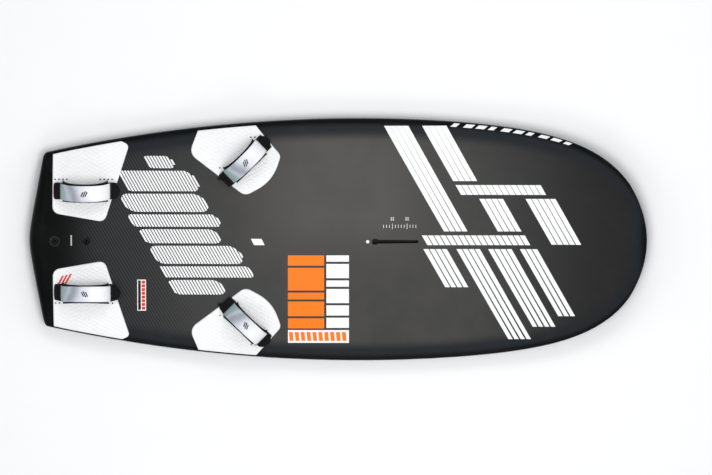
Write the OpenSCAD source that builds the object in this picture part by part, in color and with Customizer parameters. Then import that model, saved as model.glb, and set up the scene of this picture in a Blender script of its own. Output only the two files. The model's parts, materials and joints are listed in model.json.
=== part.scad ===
// A windsurf hydrofoil board with its deck pads and four footstraps.
// X runs from the tail to the nose, Y to port, Z up. The board lies on its flat bottom at Z = 0,
// and the origin is under the middle of its length. Places along the board are given as their
// distance from the tail, and places across it as their distance in from the rail.

/* [Outline] */
// Length from the tail to the nose
board_l = 2150; // [1800:10:2600]
// Greatest width
board_w = 850; // [700:5:1050]
// Distance from the tail to the widest place
wide_at = 1150; // [950:10:1400]
// Width that the sides would reach at the very end of the tail
tail_w = 584; // [480:2:700]
// Depth of the tail's shallow V
tail_v = 47; // [20:1:70]
// Radius of the tail's corners
tail_corner_r = 28; // [15:1:40]
// Depth of the curve that closes the nose
nose_cap = 60; // [40:1:90]
// Share of the nose's plan curve that bends early; the rest bends close to the tip
nose_full = 0.48; // [0.3:0.01:0.7]

/* [Thickness] */
// Thickness at the middle
board_t = 104; // [95:1:145]
// Thickness at the tail
tail_t = 92; // [80:1:120]
// Thickness that the nose would have at its tip
nose_t = 58; // [45:1:90]
// Rise of the bottom at the nose
nose_rocker = 66; // [30:1:100]
// Length of the flat bottom, from the tail
flat_l = 1300; // [1100:10:1500]
// Height of the rail's widest line, as a share of the thickness
rail_apex = 0.42; // [0.3:0.01:0.55]
// Fullness of the deck's crown, higher is squarer
deck_crown = 2.7; // [2.4:0.1:5]
// Fullness of the bottom's edge, higher is squarer
keel_crown = 5; // [4:0.5:10]
// Length over which the deck rolls down to the tail
tail_round = 40; // [25:1:60]
// Length over which the nose rolls over
nose_round = 150; // [90:5:220]

/* [Construction] */
// Thickness of the sandwich skin
skin_t = 4; // [3:0.5:6]
// Glue line between a skin, a block or a box and what it is set in
glue_gap = 0.3; // [0.2:0.05:0.5]
// Width of the dense blocks around the foil box and the mast track
block_w = 110; // [80:1:140]

/* [Foil box] */
// Distance from the tail to the middle of the two bolts
foil_at = 144.5; // [140:0.5:180]
// Distance between the two bolts
foil_bolt_gap = 110; // [90:1:120]
// Radius of each bolt hole
foil_bolt_r = 4.25; // [3:0.05:5]
// Radius of each bolt's recess in the deck
foil_recess_r = 12.5; // [9:0.5:14]
// Radius of the boss around each recess
foil_boss_r = 19; // [16:0.5:21]
// Length of the socket at the bottom
foil_socket_l = 168; // [140:1:175]
// Length of the socket at its roof
foil_roof_l = 142; // [125:1:150]
// Width of the socket
foil_socket_w = 16; // [12:0.5:20]
// Depth of the socket
foil_socket_d = 70; // [55:1:72]
// Thickness of the roof that the bolts pass through
foil_roof_t = 9; // [6:0.5:9]
// Thickness of the box's walls
foil_wall = 12; // [8:0.5:16]

/* [Mast track] */
// Distance from the tail to the slot's aft end
track_at = 1193; // [1150:1:1250]
// Length of the slot
track_l = 162; // [120:1:200]
// Width of the slot
track_slot_w = 11; // [9:0.5:13]
// Width of the entry and of the undercut
track_entry_w = 20; // [17:0.5:24]
// Length of the entry
track_entry_l = 23; // [20:0.5:30]
// Thickness of the lips over the undercut
track_lip_t = 6; // [4:0.5:9]
// Height of the undercut
track_under_h = 9; // [7:0.5:12]
// Thickness of the track box's walls
track_wall = 5; // [4:0.5:8]

/* [Vent] */
// Distance from the tail to the vent
vent_at = 1178; // [1173:0.5:1179]
// Radius of the vent housing
vent_r = 8; // [7.6:0.1:8.2]
// Depth of the vent housing
vent_d = 24; // [20:1:30]
// Radius of the vent screw's head
vent_head_r = 6.2; // [5.8:0.1:6.4]
// Height of the vent screw's head
vent_head_h = 3; // [2:0.1:4]
// Radius of the vent screw's shank
vent_shank_r = 4; // [3:0.1:4.2]

/* [Pads] */
// Thickness of the pads
pad_t = 8; // [5:0.5:12]
// Distance from the rail to the pads' outboard edges
pad_edge = 11; // [8:0.5:20]

/* [Strap plugs] */
// Distance between the holes in a row
hole_gap = 13.6; // [12:0.1:16]
// Number of holes in a row
hole_count = 4; // [4:1:5]
// Radius of a screw hole
hole_r = 3; // [2.5:0.1:3.5]
// Depth of a screw hole
hole_d = 18; // [14:0.5:20]
// Plastic around the holes of a plug
plug_wall = 9; // [7:0.5:10]
// Depth of a plug
plug_d = 26; // [22:1:28]

/* [Straps] */
// Height of a strap's top above the pad
strap_h = 76; // [60:1:95]
// Fullness of a strap's arch
strap_crown = 2.5; // [2:0.1:3.2]
// Width of the padded cover
cover_w = 55; // [45:1:60]
// Thickness of the padded cover
cover_t = 6; // [4:0.5:9]
// Width of the inner lining
lining_w = 62; // [55:1:66]
// Thickness of the inner lining
lining_t = 5; // [3:0.5:8]
// Width of the webbing
web_w = 50; // [40:1:54]
// Thickness of the webbing
web_t = 2.6; // [2:0.1:4]
// Height of the line that a strap leans about, above the pad
lean_h = 12; // [11:0.5:16]
// Length of a tab under a strap's end
tab_l = 36; // [30:1:44]
// Width of a tab
tab_w = 58; // [50:1:62]
// Thickness of a tab
tab_t = 3; // [2:0.5:3.5]
// Size of the anti-twist plate
plate_l = 26; // [20:1:30]
// Thickness of the anti-twist plate
plate_t = 2.5; // [1.5:0.5:3]
// Radius of a screw's head
screw_head_r = 7; // [5:0.5:8]
// Height of a screw's head
screw_head_h = 3; // [2:0.5:3.5]
// Length of a screw below its head
screw_l = 27; // [22:1:28]

/* [Hidden] */
$fn = 48;

REAR = 0;
FRONT = 1;
AFT = 0;
FORE = 1;

// Each strap's two feet, aft and fore: distance from the tail, and in from the rail
FEET = [
    [[105.8, 138], [290, 173]],
    [[691.7, 181], [813.4, 73]]
];
// Which hole of its plug's row each foot is screwed to
FOOT_HOLE = [[1, 3], [2, 3]];
// Distance outboard from a foot's row of holes to the spare row
SPARE_ROW = [[39, 39], [35, 22]];
// Corners of each pad's inboard edge: distance from the tail, in from the rail, corner cut
REAR_PAD = [[323, 0, 0], [349, 26, 14], [263, 278, 24], [82, 211, 26], [84, 0, 0]];
FRONT_PAD = [
    [790, 0, 0], [877, 117, 14], [846, 205, 58], [752, 249, 22], [557, 82, 12], [588, 0, 0]
];

tail_vee_soft = 0.17;     // how rounded the middle of the tail's V is
tail_blend = 200;         // length over which the V of the tail fades out of the grid
nose_blend = 500;         // length over which the curve of the nose fades out of the grid
rocker_power = 2.2;
thick_at = 900;           // where the full thickness starts
thick_end = 1200;         // where it ends
round_power = 2.4;
keel_round = 12;          // length over which the bottom rolls up at the tail
nose_keel_round = 110;    // and at the nose
nose_keel_crown = 3;      // fullness of the bottom's edge at the nose
plane_cut = 1;            // how far the moulded bottom is planed off to leave it truly flat
seam = 0.3;               // glue line between the two shells
clear = 0.2;              // clearance around what is let into the deck or laid on a pad
slack = 0.05;             // running clearance around the vent screw
base_gap = 3;             // height of a strap's lower ends above the line that it leans about
cover_lift = 8;           // how much higher the cover ends than the lining
o_ring_r = 0.8;
end_u = board_l - nose_cap;
rail_steps = 7;
tail_steps = 5;
nose_steps = 6;
mid_steps = 26;
big = 400;

deck_black = [0.24, 0.24, 0.235];
pad_white = [0.95, 0.95, 0.95];
foam_white = [0.98, 0.97, 0.92];
block_pink = [0.85, 0.74, 0.6];
plastic_black = [0.08, 0.08, 0.08];
cover_white = [0.9, 0.91, 0.95];
steel = [0.7, 0.7, 0.72];

// ---- Shape of the board ----

function ease(s) = s*s*(3 - 2*s);
function nose_share(u) = min(1, (u - wide_at)/(board_l - wide_at));

// Half of the board's width at a distance from the tail
function half_w(u) =
    u < wide_at
    ? board_w/2 - (board_w - tail_w)/2*pow((wide_at - u)/wide_at, 2)
    : board_w/2*sqrt(max(0, 1 - nose_full*pow(nose_share(u), 2)
        - (1 - nose_full)*pow(nose_share(u), 6)));

function rocker(u) =
    u < flat_l ? 0 : nose_rocker*pow((u - flat_l)/(board_l - flat_l), rocker_power);
function thick(u) =
    u < thick_at
    ? tail_t + (board_t - tail_t)*ease(u/thick_at)
    : board_t - (board_t - nose_t)*pow(max(0, u - thick_end)/(board_l - thick_end), 2);
function apex(u) = rocker(u) + rail_apex*thick(u);
function crown(e, power) = pow(max(0, 1 - pow(abs(e), power)), 1/power);
function keel_power(u) =
    u < flat_l
    ? keel_crown
    : keel_crown + (nose_keel_crown - keel_crown)*(u - flat_l)/(board_l - flat_l);
function roll(s) = s >= 1 ? 1 : pow(1 - pow(1 - max(0, s), round_power), 1/round_power);

// The grid of the board's surfaces: stations along it, and shares of the half width across it
STATIONS = concat(
    [for (j = [0 : tail_steps]) tail_round*(1 - cos(90*j/tail_steps))],
    [for (j = [1 : mid_steps - 1])
        tail_round + (end_u - nose_round - tail_round)*j/mid_steps],
    [for (j = [0 : nose_steps]) end_u - nose_round*(1 - sin(90*j/nose_steps))]
);
last_row = len(STATIONS) - 1;
cols = 2*rail_steps + 1;
function share(k) = sin(90*k/rail_steps);
function vee(e) =
    (sqrt(e*e + pow(tail_vee_soft, 2)) - tail_vee_soft)
    /(sqrt(1 + pow(tail_vee_soft, 2)) - tail_vee_soft);
function tail_fade(s) = pow(max(0, 1 - s/tail_blend), 2);
function nose_fade(s) = pow(max(0, 1 - (end_u - s)/nose_blend), 2);
function corner_cut(s) =
    s >= tail_corner_r
    ? 0
    : tail_corner_r - sqrt(pow(tail_corner_r, 2) - pow(tail_corner_r - s, 2));
function rail_y(s) = half_w(s + tail_v*tail_fade(s)) - corner_cut(s);
function surface_x(s, e, out) =
    s + tail_v*vee(e)*tail_fade(s) + nose_cap*(1 - e*e)*nose_fade(s)
    + out*(2*s/end_u - 1) - board_l/2;

// A point of the deck, or of the bottom, moved outward by out; rim lifts the line at the rail
function deck_point(s, e, out, rim) =
    let (low = apex(s) + rim, high = rocker(s) + thick(s) + out)
    [
        surface_x(s, e, out),
        e*(rail_y(s) + out),
        low + (high - low)*crown(e, deck_crown)
            *roll(s/tail_round)*roll((end_u - s)/nose_round)
    ];
function hull_point(s, e, out, rim) =
    let (high = apex(s) - rim, low = rocker(s) - plane_cut - out)
    [
        surface_x(s, e, out),
        e*(rail_y(s) + out),
        high - (high - low)*crown(e, keel_power(s))
            *roll(s/keel_round)*roll((end_u - s)/nose_keel_round)
    ];

function deck_rows(first, last, out, rim = 0) =
    [for (i = [first : last]) for (k = [-rail_steps : rail_steps])
        deck_point(STATIONS[i], share(k), out, rim)];
function hull_rows(first, last, out, rim = 0) =
    [for (i = [first : last]) for (k = [-rail_steps : rail_steps])
        hull_point(STATIONS[i], share(k), out, rim)];

// Height of the deck at a place, and the direction that points straight out of it
function deck_z(u, y, out = 0) =
    apex(u) + (rocker(u) + thick(u) + out - apex(u))*crown(y/(half_w(u) + out), deck_crown);
function unit(v) = v/norm(v);
function deck_normal(u, y) =
    unit([deck_z(u - 1, y) - deck_z(u + 1, y), deck_z(u, y - 1) - deck_z(u, y + 1), 2]);

// Rows of the grid that cover a stretch of the board
function row_before(u) = max([for (i = [0 : last_row]) if (STATIONS[i] <= u || i == 0) i]);
function row_after(u) = min([for (i = [0 : last_row]) if (STATIONS[i] >= u || i == last_row) i]);

// A solid between two grids of the same rows, from row first of the board on. Each cell is
// split the same way on both sides of the centre line, and the other way in the row at the
// tail, so that no cut joins two points of the rim. open_rim and open_ends leave out the
// walls where the two grids meet in a line.
module between(upper, lower, rows, first = 0, open_rim = false, open_ends = false) {
    count = rows*cols;
    function at(i, k) = i*cols + k;
    top_faces = [for (i = [0 : rows - 2]) for (k = [0 : cols - 2])
        each (k < rail_steps) != (first + i == 0)
        ? [[at(i, k), at(i, k + 1), at(i + 1, k)],
           [at(i, k + 1), at(i + 1, k + 1), at(i + 1, k)]]
        : [[at(i, k), at(i, k + 1), at(i + 1, k + 1)],
           [at(i, k), at(i + 1, k + 1), at(i + 1, k)]]];
    low_faces = [for (f = top_faces) [f[2] + count, f[1] + count, f[0] + count]];
    end_faces = [for (k = [0 : cols - 2]) each [
        [at(0, k + 1), at(0, k), count + at(0, k)],
        [at(0, k + 1), count + at(0, k), count + at(0, k + 1)],
        [at(rows - 1, k), at(rows - 1, k + 1), count + at(rows - 1, k + 1)],
        [at(rows - 1, k), count + at(rows - 1, k + 1), count + at(rows - 1, k)]
    ]];
    rim_faces = [for (i = [0 : rows - 2]) each [
        [at(i + 1, cols - 1), at(i, cols - 1), count + at(i, cols - 1)],
        [at(i + 1, cols - 1), count + at(i, cols - 1), count + at(i + 1, cols - 1)],
        [at(i, 0), at(i + 1, 0), count + at(i + 1, 0)],
        [at(i, 0), count + at(i + 1, 0), count + at(i, 0)]
    ]];
    polyhedron(
        points = concat(upper, lower),
        faces = concat(
            top_faces, low_faces, open_ends ? [] : end_faces, open_rim ? [] : rim_faces
        )
    );
}

// A layer that follows the deck over a stretch of the board
module deck_layer(from_u, to_u, low, high) {
    first = row_before(from_u);
    last = row_after(to_u);
    between(
        deck_rows(first, last, high), deck_rows(first, last, low), last - first + 1, first
    );
}

// What lies inside the two shells over a stretch of the board
module inside_shells(from_u, to_u) {
    first = row_before(from_u);
    last = row_after(to_u);
    inset = -skin_t - glue_gap;
    between(
        deck_rows(first, last, inset), hull_rows(first, last, inset), last - first + 1,
        first, open_rim = true
    );
}

// ---- Plans of what is let into the board ----

function mix(a, b, s) = a + (b - a)*s;
// A corner rounded with a curve that starts and ends cut away from it
function rounded_corner(before, corner, after, cut) =
    cut == 0
    ? [corner]
    : let (
        from = corner + unit(before - corner)*cut,
        to = corner + unit(after - corner)*cut
    )
    [for (s = [0 : 0.2 : 1]) mix(mix(from, corner, s), mix(corner, to, s), s)];

module box_plan(l, w, r) {
    union() {
        square([l - 2*r, w], center = true);
        square([l, w - 2*r], center = true);
        for (x = [-1, 1], y = [-1, 1])
            translate([x*(l/2 - r), y*(w/2 - r)])
                circle(r);
    }
}

module at_tail(u) {
    translate([u - board_l/2, 0, 0])
        children();
}

// ---- Foil box ----

foil_box_l = foil_socket_l + 2*foil_wall;
foil_box_w = foil_socket_w + 2*foil_wall;
foil_box_h = foil_socket_d + foil_roof_t;
foil_block_l = foil_box_l + 2*foil_wall;

module foil_bosses(r, top) {
    for (side = [-1, 1])
        at_tail(foil_at + side*foil_bolt_gap/2)
            cylinder(h = top, r = r);
}
function boss_top(side) = deck_z(foil_at + side*foil_bolt_gap/2, 0) - clear;

module foil_box_envelope(gap) {
    at_tail(foil_at)
        translate([0, 0, -1])
            linear_extrude(foil_box_h + gap + 1)
                box_plan(foil_box_l + 2*gap, foil_box_w + 2*gap, 8);
    foil_bosses(foil_boss_r + gap, big);
}

module foil_box() {
    color(plastic_black)
    difference() {
        union() {
            at_tail(foil_at)
                linear_extrude(foil_box_h)
                    box_plan(foil_box_l, foil_box_w, 8);
            for (side = [-1, 1])
                at_tail(foil_at + side*foil_bolt_gap/2)
                    cylinder(h = boss_top(side), r = foil_boss_r);
        }
        at_tail(foil_at)
            rotate([90, 0, 0])
                linear_extrude(foil_socket_w, center = true)
                    polygon([
                        [-foil_socket_l/2, 0], [foil_socket_l/2, 0],
                        [foil_roof_l/2, foil_socket_d], [-foil_roof_l/2, foil_socket_d]
                    ]);
        foil_bosses(foil_bolt_r, big);
        translate([0, 0, foil_box_h])
            foil_bosses(foil_recess_r, big);
    }
}

module foil_block_plan(gap) {
    at_tail(foil_at)
        linear_extrude(big)
            box_plan(foil_block_l + 2*gap, block_w + 2*gap, 10);
}

module foil_block() {
    color(block_pink)
    difference() {
        intersection() {
            inside_shells(foil_at - foil_block_l/2, foil_at + foil_block_l/2);
            foil_block_plan(0);
        }
        foil_box_envelope(glue_gap);
    }
}

// ---- Mast track and vent ----

track_mid = track_at + track_l/2;
track_box_l = track_l + 2*track_wall;
track_box_w = track_entry_w + 2*track_wall;
track_top = deck_z(track_at + track_l + track_wall, 0) - skin_t - glue_gap;
track_box_h = track_lip_t + track_under_h + track_wall;
track_block_from = vent_at - vent_r - track_wall*2;
track_block_to = track_at + track_l + track_wall*3;

module track_slot_plan() {
    x0 = track_at - board_l/2;
    r = track_slot_w/2;
    union() {
        translate([x0 + r, -r])
            square([track_l - 2*r, 2*r]);
        translate([x0 + track_l - r, 0])
            circle(r);
        translate([x0 + track_entry_l/2, 0])
            box_plan(track_entry_l, track_entry_w, 8);
    }
}

module mast_track_box() {
    color(plastic_black)
    difference() {
        at_tail(track_mid)
            translate([0, 0, track_top - track_box_h])
                linear_extrude(track_box_h)
                    box_plan(track_box_l, track_box_w, 6);
        translate([0, 0, track_top - track_lip_t - track_under_h])
            linear_extrude(big)
                track_slot_plan();
        at_tail(track_mid)
            translate([0, 0, track_top - track_lip_t - track_under_h])
                linear_extrude(track_under_h)
                    box_plan(track_l, track_entry_w, 8);
    }
}

module mast_track_block() {
    color(block_pink)
    difference() {
        intersection() {
            inside_shells(track_block_from, track_block_to);
            track_block_plan(0);
        }
        at_tail(track_mid)
            translate([0, 0, track_top - track_box_h - glue_gap])
                linear_extrude(big)
                    box_plan(track_box_l + 2*glue_gap, track_box_w + 2*glue_gap, 6);
        vent_hole(vent_r + glue_gap, vent_d + glue_gap);
    }
}
module track_block_plan(gap) {
    at_tail((track_block_from + track_block_to)/2)
        linear_extrude(big)
            box_plan(track_block_to - track_block_from + 2*gap, block_w + 2*gap, 10);
}

vent_top = deck_z(vent_at, 0) - clear/2;
vent_seat = vent_top - vent_head_h - 2*o_ring_r;
vent_shank_l = vent_d*0.6;

module vent_hole(r, depth) {
    at_tail(vent_at)
        translate([0, 0, vent_top - depth])
            cylinder(h = big, r = r);
}
module vent_housing() {
    color(plastic_black)
    difference() {
        at_tail(vent_at)
            translate([0, 0, vent_top - vent_d])
                cylinder(h = vent_d, r = vent_r);
        vent_hole(vent_shank_r + slack, big);
        at_tail(vent_at)
            translate([0, 0, vent_seat])
                cylinder(h = big, r = vent_head_r + clear);
    }
}
module vent_o_ring() {
    color("black")
    at_tail(vent_at)
        translate([0, 0, vent_seat + o_ring_r])
            rotate_extrude()
                translate([vent_shank_r + slack*2 + o_ring_r, 0])
                    circle(o_ring_r - slack, $fn = 24);
}
module vent_screw() {
    color("gainsboro")
    at_tail(vent_at)
        translate([0, 0, vent_seat + 2*o_ring_r])
            difference() {
                union() {
                    cylinder(h = vent_head_h, r = vent_head_r);
                    translate([0, 0, -vent_shank_l])
                        cylinder(h = vent_shank_l + 1, r = vent_shank_r);
                }
                translate([0, 0, vent_head_h])
                    cube([vent_head_r*3, 1.6, 2.4], center = true);
            }
}

// ---- Shells and core ----

module plug_holes_all(gap) {
    for (end = [REAR, FRONT], foot = [AFT, FORE], flip = [0, 1])
        mirror([0, flip, 0])
            plug_body(end, foot, gap);
}

module foam_core() {
    color(foam_white)
    difference() {
        between(
            deck_rows(0, last_row, -skin_t - glue_gap),
            hull_rows(0, last_row, -skin_t - glue_gap),
            last_row + 1, open_rim = true, open_ends = true
        );
        foil_block_plan(glue_gap);
        track_block_plan(glue_gap);
        plug_holes_all(glue_gap);
    }
}

module deck_shell() {
    color(deck_black)
    difference() {
        between(
            deck_rows(0, last_row, 0, seam/2),
            deck_rows(0, last_row, -skin_t, seam/2),
            last_row + 1
        );
        foil_bosses(foil_boss_r + clear, big);
        linear_extrude(big)
            track_slot_plan();
        vent_hole(vent_r + clear, vent_d);
        plug_holes_all(clear);
    }
}

module hull_shell() {
    color([0.12, 0.12, 0.12])
    difference() {
        between(
            hull_rows(0, last_row, -skin_t, seam/2),
            hull_rows(0, last_row, 0, seam/2),
            last_row + 1
        );
        translate([-board_l, -board_w, -10])
            cube([2*board_l, 2*board_w, 10]);
        at_tail(foil_at)
            translate([0, 0, -1])
                linear_extrude(foil_box_h)
                    box_plan(foil_box_l + 2*glue_gap, foil_box_w + 2*glue_gap, 8);
    }
}

// ---- Strap plugs ----

function foot_u(end, foot) = FEET[end][foot][0];
function foot_y(end, foot) = half_w(foot_u(end, foot)) - FEET[end][foot][1];
function row_mid_u(end, foot) =
    foot_u(end, foot) + ((hole_count - 1)/2 - FOOT_HOLE[end][foot])*hole_gap;
function plug_z(end, foot) =
    deck_z(foot_u(end, foot), foot_y(end, foot) + SPARE_ROW[end][foot]/2) - plug_d;
plug_l = (hole_count - 1)*hole_gap + 2*plug_wall;

module plug_body(end, foot, gap) {
    w = SPARE_ROW[end][foot] + 2*plug_wall;
    at_tail(row_mid_u(end, foot))
        translate([
            0, foot_y(end, foot) + SPARE_ROW[end][foot]/2, plug_z(end, foot) - gap
        ])
            linear_extrude(big)
                box_plan(plug_l + 2*gap, w + 2*gap, 5);
}

// The spare holes of a plug, as upright cylinders from a height up
module spare_holes(end, foot) {
    for (n = [0 : hole_count - 1], row = [0, 1])
        if (row == 1 || n != FOOT_HOLE[end][foot])
            let (
                u = foot_u(end, foot) + (n - FOOT_HOLE[end][foot])*hole_gap,
                y = foot_y(end, foot) + row*SPARE_ROW[end][foot]
            )
            at_tail(u)
                translate([0, y, deck_z(u, y) - hole_d])
                    cylinder(h = big/2, r = hole_r);
}

module plug(end, foot) {
    u = foot_u(end, foot);
    color(plastic_black)
    difference() {
        intersection() {
            plug_body(end, foot, 0);
            deck_layer(u - plug_l - hole_gap, u + plug_l + hole_gap, -plug_d*2, -clear/2);
        }
        spare_holes(end, foot);
        at_foot(end, foot)
            translate([0, 0, -big])
                cylinder(h = 2*big, r = hole_r);
    }
}

// ---- Pads ----

function pad_corner(c) = [c[0], c[1] == 0 ? half_w(c[0]) - pad_edge : half_w(c[0]) - c[1]];
function pad_corners(list) = [for (c = list) pad_corner(c)];
function pad_inboard(list) =
    let (p = pad_corners(list))
    [for (i = [1 : len(p) - 2]) each rounded_corner(p[i - 1], p[i], p[i + 1], list[i][2])];
function pad_outboard(list) =
    let (fore = list[0][0], aft = list[len(list) - 1][0])
    [for (s = [0 : 0.125 : 1]) [mix(aft, fore, s), half_w(mix(aft, fore, s)) - pad_edge]];

module pad(end) {
    list = end == REAR ? REAR_PAD : FRONT_PAD;
    outline = concat(pad_inboard(list), pad_outboard(list));
    us = [for (p = outline) p[0]];
    color(pad_white)
    difference() {
        intersection() {
            deck_layer(min(us), max(us), clear, clear + pad_t);
            translate([-board_l/2, 0, 0])
                linear_extrude(big)
                    polygon(outline);
        }
        for (foot = [AFT, FORE]) {
            spare_holes(end, foot);
            at_foot(end, foot)
                translate([0, 0, -big/2])
                    cylinder(h = big, r = hole_r);
        }
    }
}

// ---- Footstraps ----

pad_top = clear + pad_t;
tab_low = pad_top + clear;
plate_low = tab_low + tab_t + clear;
screw_seat = plate_low + plate_t + 2*clear;

function foot_place(end, foot) =
    let (u = foot_u(end, foot), y = foot_y(end, foot))
    [u - board_l/2, y, deck_z(u, y)];
function foot_normal(end, foot) = deck_normal(foot_u(end, foot), foot_y(end, foot));

// Three directions and a place as one transformation
function frame(x, y, z, p) = [
    [x[0], y[0], z[0], p[0]], [x[1], y[1], z[1], p[1]], [x[2], y[2], z[2], p[2]], [0, 0, 0, 1]
];
module at_foot(end, foot) {
    z = foot_normal(end, foot);
    y = unit(cross(z, [1, 0, 0]));
    multmatrix(frame(cross(y, z), y, z, foot_place(end, foot)))
        children();
}

// The strap's own frame: X from its aft foot to its fore foot, Z out of the deck
function strap_x(end) = unit(foot_place(end, FORE) - foot_place(end, AFT));
function strap_y(end) =
    unit(cross(foot_normal(end, AFT) + foot_normal(end, FORE), strap_x(end)));
function strap_z(end) = cross(strap_x(end), strap_y(end));
function strap_place(end) =
    (foot_place(end, AFT) + foot_place(end, FORE))/2 + strap_z(end)*pad_top;
function strap_half(end) = norm(foot_place(end, FORE) - foot_place(end, AFT))/2;
module at_strap(end) {
    multmatrix(frame(strap_x(end), strap_y(end), strap_z(end), strap_place(end)))
        children();
}
function strap_turn(end) = atan2(strap_x(end)[1], strap_x(end)[0]);

function arch_points(a, h) = [for (t = [0 : 6 : 180])
    [
        a*sign(cos(t))*pow(abs(cos(t)), 2/strap_crown),
        h*pow(abs(sin(t)), 2/strap_crown)
    ]];

// A band that follows the strap's arch, depth under its outer face
module arch_band(end, depth, t, w, base) {
    a = strap_half(end) - clear*10 - depth;
    h = strap_h - depth;
    at_strap(end)
        rotate([90, 0, 0])
            linear_extrude(w, center = true)
                intersection() {
                    difference() {
                        polygon(arch_points(a, h));
                        polygon(arch_points(a - t, h - t));
                    }
                    translate([-a, base])
                        square([2*a, h]);
                }
}

web_depth = cover_t + clear;
lining_depth = web_depth + web_t + clear;
strap_base = lean_h + base_gap;

module strap_cover(end) {
    color(cover_white)
    arch_band(end, 0, cover_t, cover_w, strap_base + cover_lift);
}
module strap_webbing(end) {
    color([0.1, 0.1, 0.1])
    arch_band(end, web_depth, web_t, web_w, strap_base);
}
module strap_lining(end) {
    color([0.14, 0.14, 0.14])
    arch_band(end, lining_depth, lining_t, lining_w, strap_base);
}

// A piece that lies on the pad under each foot, shaped by the deck below it
module foot_piece(end, l, w, r, low, high) {
    for (foot = [AFT, FORE])
        difference() {
            intersection() {
                deck_layer(foot_u(end, foot) - w, foot_u(end, foot) + w, low, high);
                at_tail(foot_u(end, foot))
                    translate([0, foot_y(end, foot), 0])
                        rotate(strap_turn(end))
                            linear_extrude(big)
                                box_plan(l, w, r);
            }
            at_foot(end, foot)
                translate([0, 0, -big/2])
                    cylinder(h = big, r = hole_r + clear);
        }
}
module strap_tabs(end) {
    color([0.09, 0.09, 0.09])
    foot_piece(end, tab_l, tab_w, 6, tab_low, tab_low + tab_t);
}
module strap_plates(end) {
    color([0.2, 0.2, 0.2])
    foot_piece(end, plate_l, plate_l*1.4, 4, plate_low, plate_low + plate_t);
}
module strap_screws(end) {
    color(steel)
    for (foot = [AFT, FORE])
        at_foot(end, foot)
            translate([0, 0, screw_seat])
                difference() {
                    union() {
                        cylinder(h = screw_head_h, r = screw_head_r);
                        translate([0, 0, -screw_l])
                            cylinder(h = screw_l + 1, r = hole_r - clear/2);
                    }
                    for (turn = [0, 90])
                        rotate(turn)
                            translate([0, 0, screw_head_h])
                                cube([screw_head_r, 1.4, 3], center = true);
                }
}

// ---- Pieces ----

module port() {
    children();
}
module starboard() {
    mirror([0, 1, 0])
        children();
}

foam_core();
deck_shell();
hull_shell();
foil_box();
foil_block();
mast_track_box();
mast_track_block();
vent_housing();
vent_o_ring();
vent_screw();
port() pad(REAR);  // pad_rear_port
starboard() pad(REAR);  // pad_rear_starboard
port() pad(FRONT);  // pad_front_port
starboard() pad(FRONT);  // pad_front_starboard
port() plug(REAR, AFT);  // plug_rear_port_aft
port() plug(REAR, FORE);  // plug_rear_port_fore
starboard() plug(REAR, AFT);  // plug_rear_starboard_aft
starboard() plug(REAR, FORE);  // plug_rear_starboard_fore
port() plug(FRONT, AFT);  // plug_front_port_aft
port() plug(FRONT, FORE);  // plug_front_port_fore
starboard() plug(FRONT, AFT);  // plug_front_starboard_aft
starboard() plug(FRONT, FORE);  // plug_front_starboard_fore
port() strap_tabs(REAR);  // strap_tabs_rear_port
starboard() strap_tabs(REAR);  // strap_tabs_rear_starboard
port() strap_tabs(FRONT);  // strap_tabs_front_port
starboard() strap_tabs(FRONT);  // strap_tabs_front_starboard
port() strap_plates(REAR);  // strap_plates_rear_port
starboard() strap_plates(REAR);  // strap_plates_rear_starboard
port() strap_plates(FRONT);  // strap_plates_front_port
starboard() strap_plates(FRONT);  // strap_plates_front_starboard
port() strap_screws(REAR);  // strap_screws_rear_port
starboard() strap_screws(REAR);  // strap_screws_rear_starboard
port() strap_screws(FRONT);  // strap_screws_front_port
starboard() strap_screws(FRONT);  // strap_screws_front_starboard
port() strap_webbing(REAR);  // strap_webbing_rear_port
starboard() strap_webbing(REAR);  // strap_webbing_rear_starboard
port() strap_webbing(FRONT);  // strap_webbing_front_port
starboard() strap_webbing(FRONT);  // strap_webbing_front_starboard
port() strap_cover(REAR);  // strap_cover_rear_port
starboard() strap_cover(REAR);  // strap_cover_rear_starboard
port() strap_cover(FRONT);  // strap_cover_front_port
starboard() strap_cover(FRONT);  // strap_cover_front_starboard
port() strap_lining(REAR);  // strap_lining_rear_port
starboard() strap_lining(REAR);  // strap_lining_rear_starboard
port() strap_lining(FRONT);  // strap_lining_front_port
starboard() strap_lining(FRONT);  // strap_lining_front_starboard
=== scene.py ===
# %% [markdown]
# # A windsurf hydrofoil board, finished in Blender
# The board's real shapes and sizes come from its CAD model, which is loaded here as a fixed
# frame. This lesson gives each piece the surface that the real one has: a moulded satin deck,
# foam foot pads with pressed grooves, padded footstraps and printed graphics. Everything is in
# metres, with X towards the nose, Y to port and Z up.

# %% Load the frame
import json
import math
import bpy
import numpy as np
from mathutils import Matrix, Vector, geometry
from mathutils.bvhtree import BVHTree

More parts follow.
